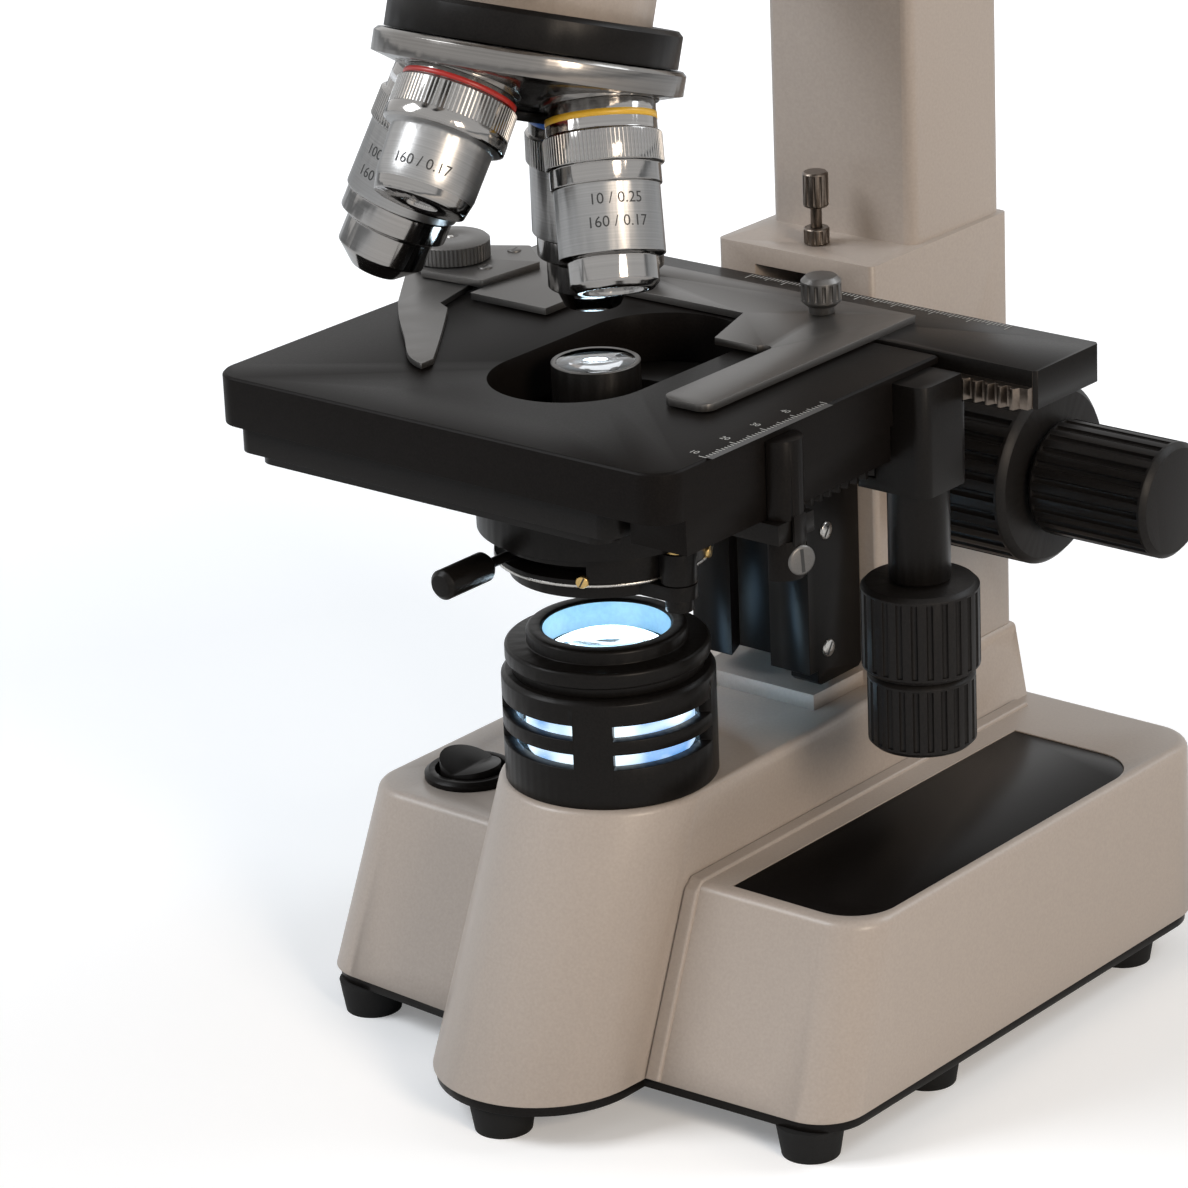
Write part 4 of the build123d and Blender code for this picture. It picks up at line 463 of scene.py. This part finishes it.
def dress_objectives():
    """The four objectives, with their numbers on the side that faces the user."""
    tube = "160 / 0.17"
    facing = CAMERA_PLACE - TURRET_APEX
    dress_objective("4x", 2, red_band, band_at=(12.0, 0.9, 2.0), knurl_at=(12.7, 2.7, 8.3),
                    satin_at=(11.5, 23.5), barrel=10.62, lines=("4 / 0.10", tube),
                    lines_at=(15.5, 19.7), facing=facing + Vector((-0.25, 0, 0)))
    dress_objective("10x", 1, yellow_band, band_at=(11.4, 2.4, 3.8), knurl_at=(12.1, 6.6, 12.5),
                    satin_at=(17.1, 30.9), barrel=10.9, lines=("10 / 0.25", tube),
                    lines_at=(20.5, 25.2), facing=facing + Vector((0.25, 0, 0)))
    long_form = dict(band_at=(12.0, 2.4, 3.8), knurl_at=(12.8, 6.6, 12.5),
                     satin_at=(13.1, 27.9), barrel=12.2, lines_at=(18.5, 23.2))
    dress_objective("40x", 0, blue_band, lines=("40 / 0.65", tube), facing=facing, **long_form)
    dress_objective("100x", 3, white_band, lines=("100 / 1.25", tube),
                    facing=facing + Vector((-0.5, 0, 0)), **long_form)


# Lamp

def dress_lamp():
    """Frosted tube that shows through the slots, the bright emitter under the lens, and painted
    light: a glow on the collar's inner wall and a glowing disc in the condenser.
    """
    axis = Vector((0, 0, 0))
    tube = ring_profile(17.6 * MM, 18.4 * MM, 78.0 * MM, 93.0 * MM)
    back = radians(23)
    lathe("lamp tube front", axis, UP, tube, lamp_blue, "stand", start=back + pi, sweep=pi)
    lathe("lamp tube back", axis, UP, tube, lamp_back, "stand", start=back, sweep=pi)
    # Painted light: a pale blue glow on the collar's inner wall stands in for the lamp's light on
    # it.
    wall = 13.93 * MM
    lathe("collar wall painted light", axis, UP, [(wall, 98.7 * MM), (wall, 104.4 * MM)], collar_painted_light, "stand")
    lathe("emitter", axis, UP, [(0, 79.2 * MM), (3.4 * MM, 78.6 * MM), (4.3 * MM, 76.2 * MM)],
          lamp_core_and_painted_glow, "stand")
    diffuser = 96.7 * MM
    lathe("lamp diffuser", axis, UP, [(0, diffuser), (12.3 * MM, diffuser)], lamp_core_and_painted_glow, "stand")
    # Painted light: a glowing disc in the condenser stands in for the lamp's light coming through
    # its lens.
    glow = 160.6 * MM
    lathe("condenser painted glow", axis, UP, [(0, glow), (6.4 * MM, glow)], lamp_core_and_painted_glow, "condenser")


# Stage

def dress_scale():
    """Index scale with plain numbers along the stage's right edge."""
    top = STAGE_TOP + INK_LIFT
    line_x = 59.1 * MM
    first_y = -37.0 * MM
    length = 40.0 * MM
    bar("scale strip", (line_x - 0.4 * MM, first_y, top - 0.01 * MM),
        (line_x + 1.6 * MM, first_y + length, top), grey_ink, "y_plate")
    for tick in range(int(length / MM) + 1):
        y = first_y + tick * MM
        reach = tick_reach(tick, 1.9 * MM, 1.4 * MM, 0.9 * MM)
        bar(f"scale tick {tick}", (line_x - reach, y - HALF_TICK, top),
            (line_x, y + HALF_TICK, top + INK_THICKNESS), white_ink, "y_plate")
    number_x = 54.9 * MM
    for index in range(4):
        place = (number_x, first_y + (1.4 + 10 * index) * MM, top + INK_THICKNESS)
        flat_text(f"scale number {index}", str(10 + 10 * index), 2.2 * MM, place, (1, 0, 0),
                  (0, 1, 0), white_ink, "y_plate")


def dress_cross_bar():
    """Millimetre lines along the rear edge of the cross bar."""
    top = BAR_TOP + INK_LIFT
    line_y = 65.0 * MM
    for tick in range(71):
        x = (-8 + tick) * MM
        reach = tick_reach(tick, 3.0 * MM, 2.3 * MM, 1.5 * MM)
        bar(f"bar tick {tick}", (x - HALF_TICK, line_y - reach, top),
            (x + HALF_TICK, line_y, top + INK_THICKNESS), white_ink, "x_slide")


def dress_finger():
    """Screws of the clamp plate, and the wide knurled cap with its pin."""
    for number, (x, y) in enumerate(((-55.5, 29.0), (-58.5, 42.5))):
        screw_head(f"clamp plate screw {number}", (x * MM, y * MM, CLAMP_TOP), UP, 1.6 * MM,
                   nickel, "x_slide", 0.4 * MM)
    pivot = (-67.3 * MM, 31 * MM, 0)
    radius = 8.9 * MM
    lathe("finger cap grip", pivot, UP, ring_profile(7.1 * MM, radius, 168.7 * MM, 172.7 * MM),
          nickel, "finger", teeth=56, depth=0.15 * MM)
    lathe("finger cap top", pivot, UP,
          [(radius, 172.6 * MM), (8.3 * MM, 173.2 * MM), (2.0 * MM, 173.5 * MM),
           (1.7 * MM, 172.9 * MM), (0, 172.9 * MM)], nickel, "finger")
    lathe("finger cap pin", pivot, UP,
          [(0.8 * MM, 172.8 * MM), (0.7 * MM, 173.4 * MM), (0, 173.5 * MM)], steel, "finger")


def dress_carriage():
    """Screw heads of the index post, the base plate and the bracket."""
    screw_head("index post screw", (64.5 * MM, -14 * MM, 137.0 * MM), (1, -0.35, 0), 3.2 * MM,
               nickel, "stage_carriage", 0.6 * MM, 1.2)
    for x in (-40, 20):
        screw_head(f"stage plate screw {x}", (x * MM, -38 * MM, 144.9 * MM), (0, 0, -1),
                   2.6 * MM, steel, "stage_carriage", 0.4 * MM)
    for name, z in (("bracket screw", 84), ("bracket upper screw", 112)):
        screw_head(name, (16.5 * MM, 57 * MM, z * MM), (1, 0, 0), 2.0 * MM, steel,
                   "stage_carriage", 0.5 * MM)


# Condenser

def dress_condenser():
    """Screws and rings of the condenser, and the glass in the filter holder."""
    flange = 23.5 * MM
    for number, (x, y) in enumerate(((11.2, -20.6), (22.0, 8.5))):
        out = Vector((x, y, 0)).normalized()
        screw_head(f"flange screw {number}", out * flange + Vector((0, 0, 123.2 * MM)), out,
                   1.4 * MM, brass, "condenser", 0.7 * MM)
    screw_head("filter pivot cap", (25.5 * MM, -6 * MM, 128.7 * MM), UP, 3.0 * MM, brass,
               "condenser", 0.8 * MM)
    lathe("flange ring", (0, 0, 0), UP,
          ring_profile(23.0 * MM, 23.62 * MM, 121.9 * MM, 122.5 * MM), steel, "condenser")
    lathe("nose ring", (0, 0, 0), UP,
          ring_profile(8.52 * MM, 9.5 * MM, 164.4 * MM, 164.55 * MM), nickel, "condenser")
    glass = 16.9 * MM
    lathe("filter glass", (0, 0, 0), UP,
          [(0, 119.8 * MM), (glass, 119.8 * MM), (glass, 121.2 * MM), (0, 121.2 * MM)],
          lens_glass, "filter_holder")


# Base

def dress_base():
    """The raised strip beside the hump, and the screws of the plate and of the inlet."""
    front = (0.05, -0.94, 0.335)
    right = (1, 0, 0)
    path = [
        ((22.7, -20.1, 10.3), (1, 0.054, 0), front),
        ((23.9, -5.8, 50.3), (1, 0.02, 0), front),
        ((23.9, -3.6, 52.0), right, (0, -0.5, 0.87)),
        ((23.9, 40.0, 52.0), right, UP),
        ((23.9, 118.0, 52.0), right, UP),
    ]
    rib("hump strip", path, 4.2 * MM, 0.8 * MM, enamel, "stand")
    for number, (x, y) in enumerate(((-50, 10), (48, 10), (-50, 90), (48, 90))):
        screw_head(f"bottom screw {number}", (x * MM, y * MM, 7.5 * MM), (0, 0, -1), 3.0 * MM,
                   steel, "stand", 0.3 * MM)
    for x in (20.8, 47.2):
        screw_head(f"inlet screw {x}", (x * MM, cad_box[1].y, 31 * MM), (0, 1, 0), 1.4 * MM,
                   steel, "stand", 0.02 * MM)


# Light, camera and floor

def camera_like_photo():
    """A camera with the fitted place, direction and focal length of the photograph."""
    forward = Vector((-sin(CAMERA_YAW) * cos(CAMERA_PITCH), cos(CAMERA_YAW) * cos(CAMERA_PITCH),
                      -sin(CAMERA_PITCH)))
    level = Vector((cos(CAMERA_YAW), sin(CAMERA_YAW), 0))
    above = level.cross(forward)
    right = level * cos(CAMERA_ROLL) + above * sin(CAMERA_ROLL)
    top = above * cos(CAMERA_ROLL) - level * sin(CAMERA_ROLL)
    data = bpy.data.cameras.new("camera")
    data.sensor_width = SENSOR_WIDTH
    data.lens = FOCAL_PIXELS / PHOTO_PIXELS * SENSOR_WIDTH
    data.clip_end = 20.0
    camera = bpy.data.objects.new("camera", data)
    turn = Matrix((right, top, -forward)).transposed().to_4x4()
    camera.matrix_world = Matrix.Translation(CAMERA_PLACE) @ turn
    bpy.context.scene.collection.objects.link(camera)
    bpy.context.scene.camera = camera


def area_light(name, place, target, size, power, colour):
    """A square soft light that looks at the target."""
    data = bpy.data.lights.new(name, "AREA")
    data.size = size
    data.energy = power
    data.color = colour
    light = bpy.data.objects.new(name, data)
    light.location = place
    light.rotation_euler = (Vector(target) - Vector(place)).to_track_quat("-Z", "Y").to_euler()
    bpy.context.scene.collection.objects.link(light)


def light_the_scene():
    """Three soft lights round the object."""
    target = (0, 0, 0.15)
    area_light("key", (-1.0, -1.0, 1.5), target, 0.9, 24, (0.93, 0.96, 1.0))
    area_light("warm", (1.5, -0.55, 0.8), target, 0.5, 15, (1.0, 0.84, 0.68))
    area_light("back", (1.1, 1.5, 1.7), target, 0.9, 15, (0.88, 0.94, 1.0))


def whiten_the_world():
    """A dim soft sky that the camera, gloss and glass see as plain white."""
    world = bpy.data.worlds.new("world")
    bpy.context.scene.world = world
    world.use_nodes = True
    nodes = world.node_tree.nodes
    links = world.node_tree.links
    nodes.clear()
    output = nodes.new("ShaderNodeOutputWorld")
    mix = nodes.new("ShaderNodeMixShader")
    soft = nodes.new("ShaderNodeBackground")
    white = nodes.new("ShaderNodeBackground")
    path = nodes.new("ShaderNodeLightPath")
    seen = nodes.new("ShaderNodeMath")
    seen.operation = "MAXIMUM"
    shown = nodes.new("ShaderNodeMath")
    shown.operation = "MAXIMUM"
    soft.inputs["Color"].default_value = (0.9, 0.95, 1.0, 1)
    soft.inputs["Strength"].default_value = 0.3
    white.inputs["Color"].default_value = (1, 1, 1, 1)
    white.inputs["Strength"].default_value = 1.0
    links.new(path.outputs["Is Camera Ray"], seen.inputs[0])
    links.new(path.outputs["Is Glossy Ray"], seen.inputs[1])
    links.new(seen.outputs["Value"], shown.inputs[0])
    links.new(path.outputs["Is Transmission Ray"], shown.inputs[1])
    links.new(shown.outputs["Value"], mix.inputs["Fac"])
    links.new(soft.outputs["Background"], mix.inputs[1])
    links.new(white.outputs["Background"], mix.inputs[2])
    links.new(mix.outputs["Shader"], output.inputs["Surface"])


def floor_paint():
    """Pale paint that turns white to the camera with the distance from the object."""
    paint = surface("floor", (0.93, 0.93, 0.93), 0.9, mottle=0.01, bump=0.0, specular=0.1)
    nodes = paint.node_tree.nodes
    links = paint.node_tree.links
    path = nodes.new("ShaderNodeLightPath")
    place = nodes.new("ShaderNodeTexCoord")
    away = nodes.new("ShaderNodeVectorMath")
    away.operation = "LENGTH"
    fade = nodes.new("ShaderNodeMapRange")
    fade.inputs["From Min"].default_value = 0.3
    fade.inputs["From Max"].default_value = 1.4
    fade.inputs["To Min"].default_value = 0.2
    fade.inputs["To Max"].default_value = 1.0
    lift = nodes.new("ShaderNodeMath")
    lift.operation = "MULTIPLY"
    shader = nodes["Principled BSDF"]
    shader.inputs["Emission Color"].default_value = (1, 1, 1, 1)
    links.new(place.outputs["Object"], away.inputs[0])
    links.new(away.outputs["Value"], fade.inputs["Value"])
    links.new(path.outputs["Is Camera Ray"], lift.inputs[0])
    links.new(fade.outputs["Result"], lift.inputs[1])
    links.new(lift.outputs["Value"], shader.inputs["Emission Strength"])
    return paint


def lay_floor():
    """A pale floor that keeps the object's shadow."""
    half = 12.0
    mesh = bpy.data.meshes.new("floor")
    mesh.from_pydata([(-half, -half, 0), (half, -half, 0), (half, half, 0), (-half, half, 0)], [],
                     [(0, 1, 2, 3)])
    mesh.materials.append(floor_paint())
    floor = bpy.data.objects.new("floor", mesh)
    bpy.context.scene.collection.objects.link(floor)


dress_nodes()
dress_objectives()
dress_lamp()
dress_scale()
dress_cross_bar()
dress_finger()
dress_carriage()
dress_condenser()
dress_base()
camera_like_photo()
light_the_scene()
whiten_the_world()
lay_floor()
bpy.context.scene.view_settings.view_transform = "Standard"
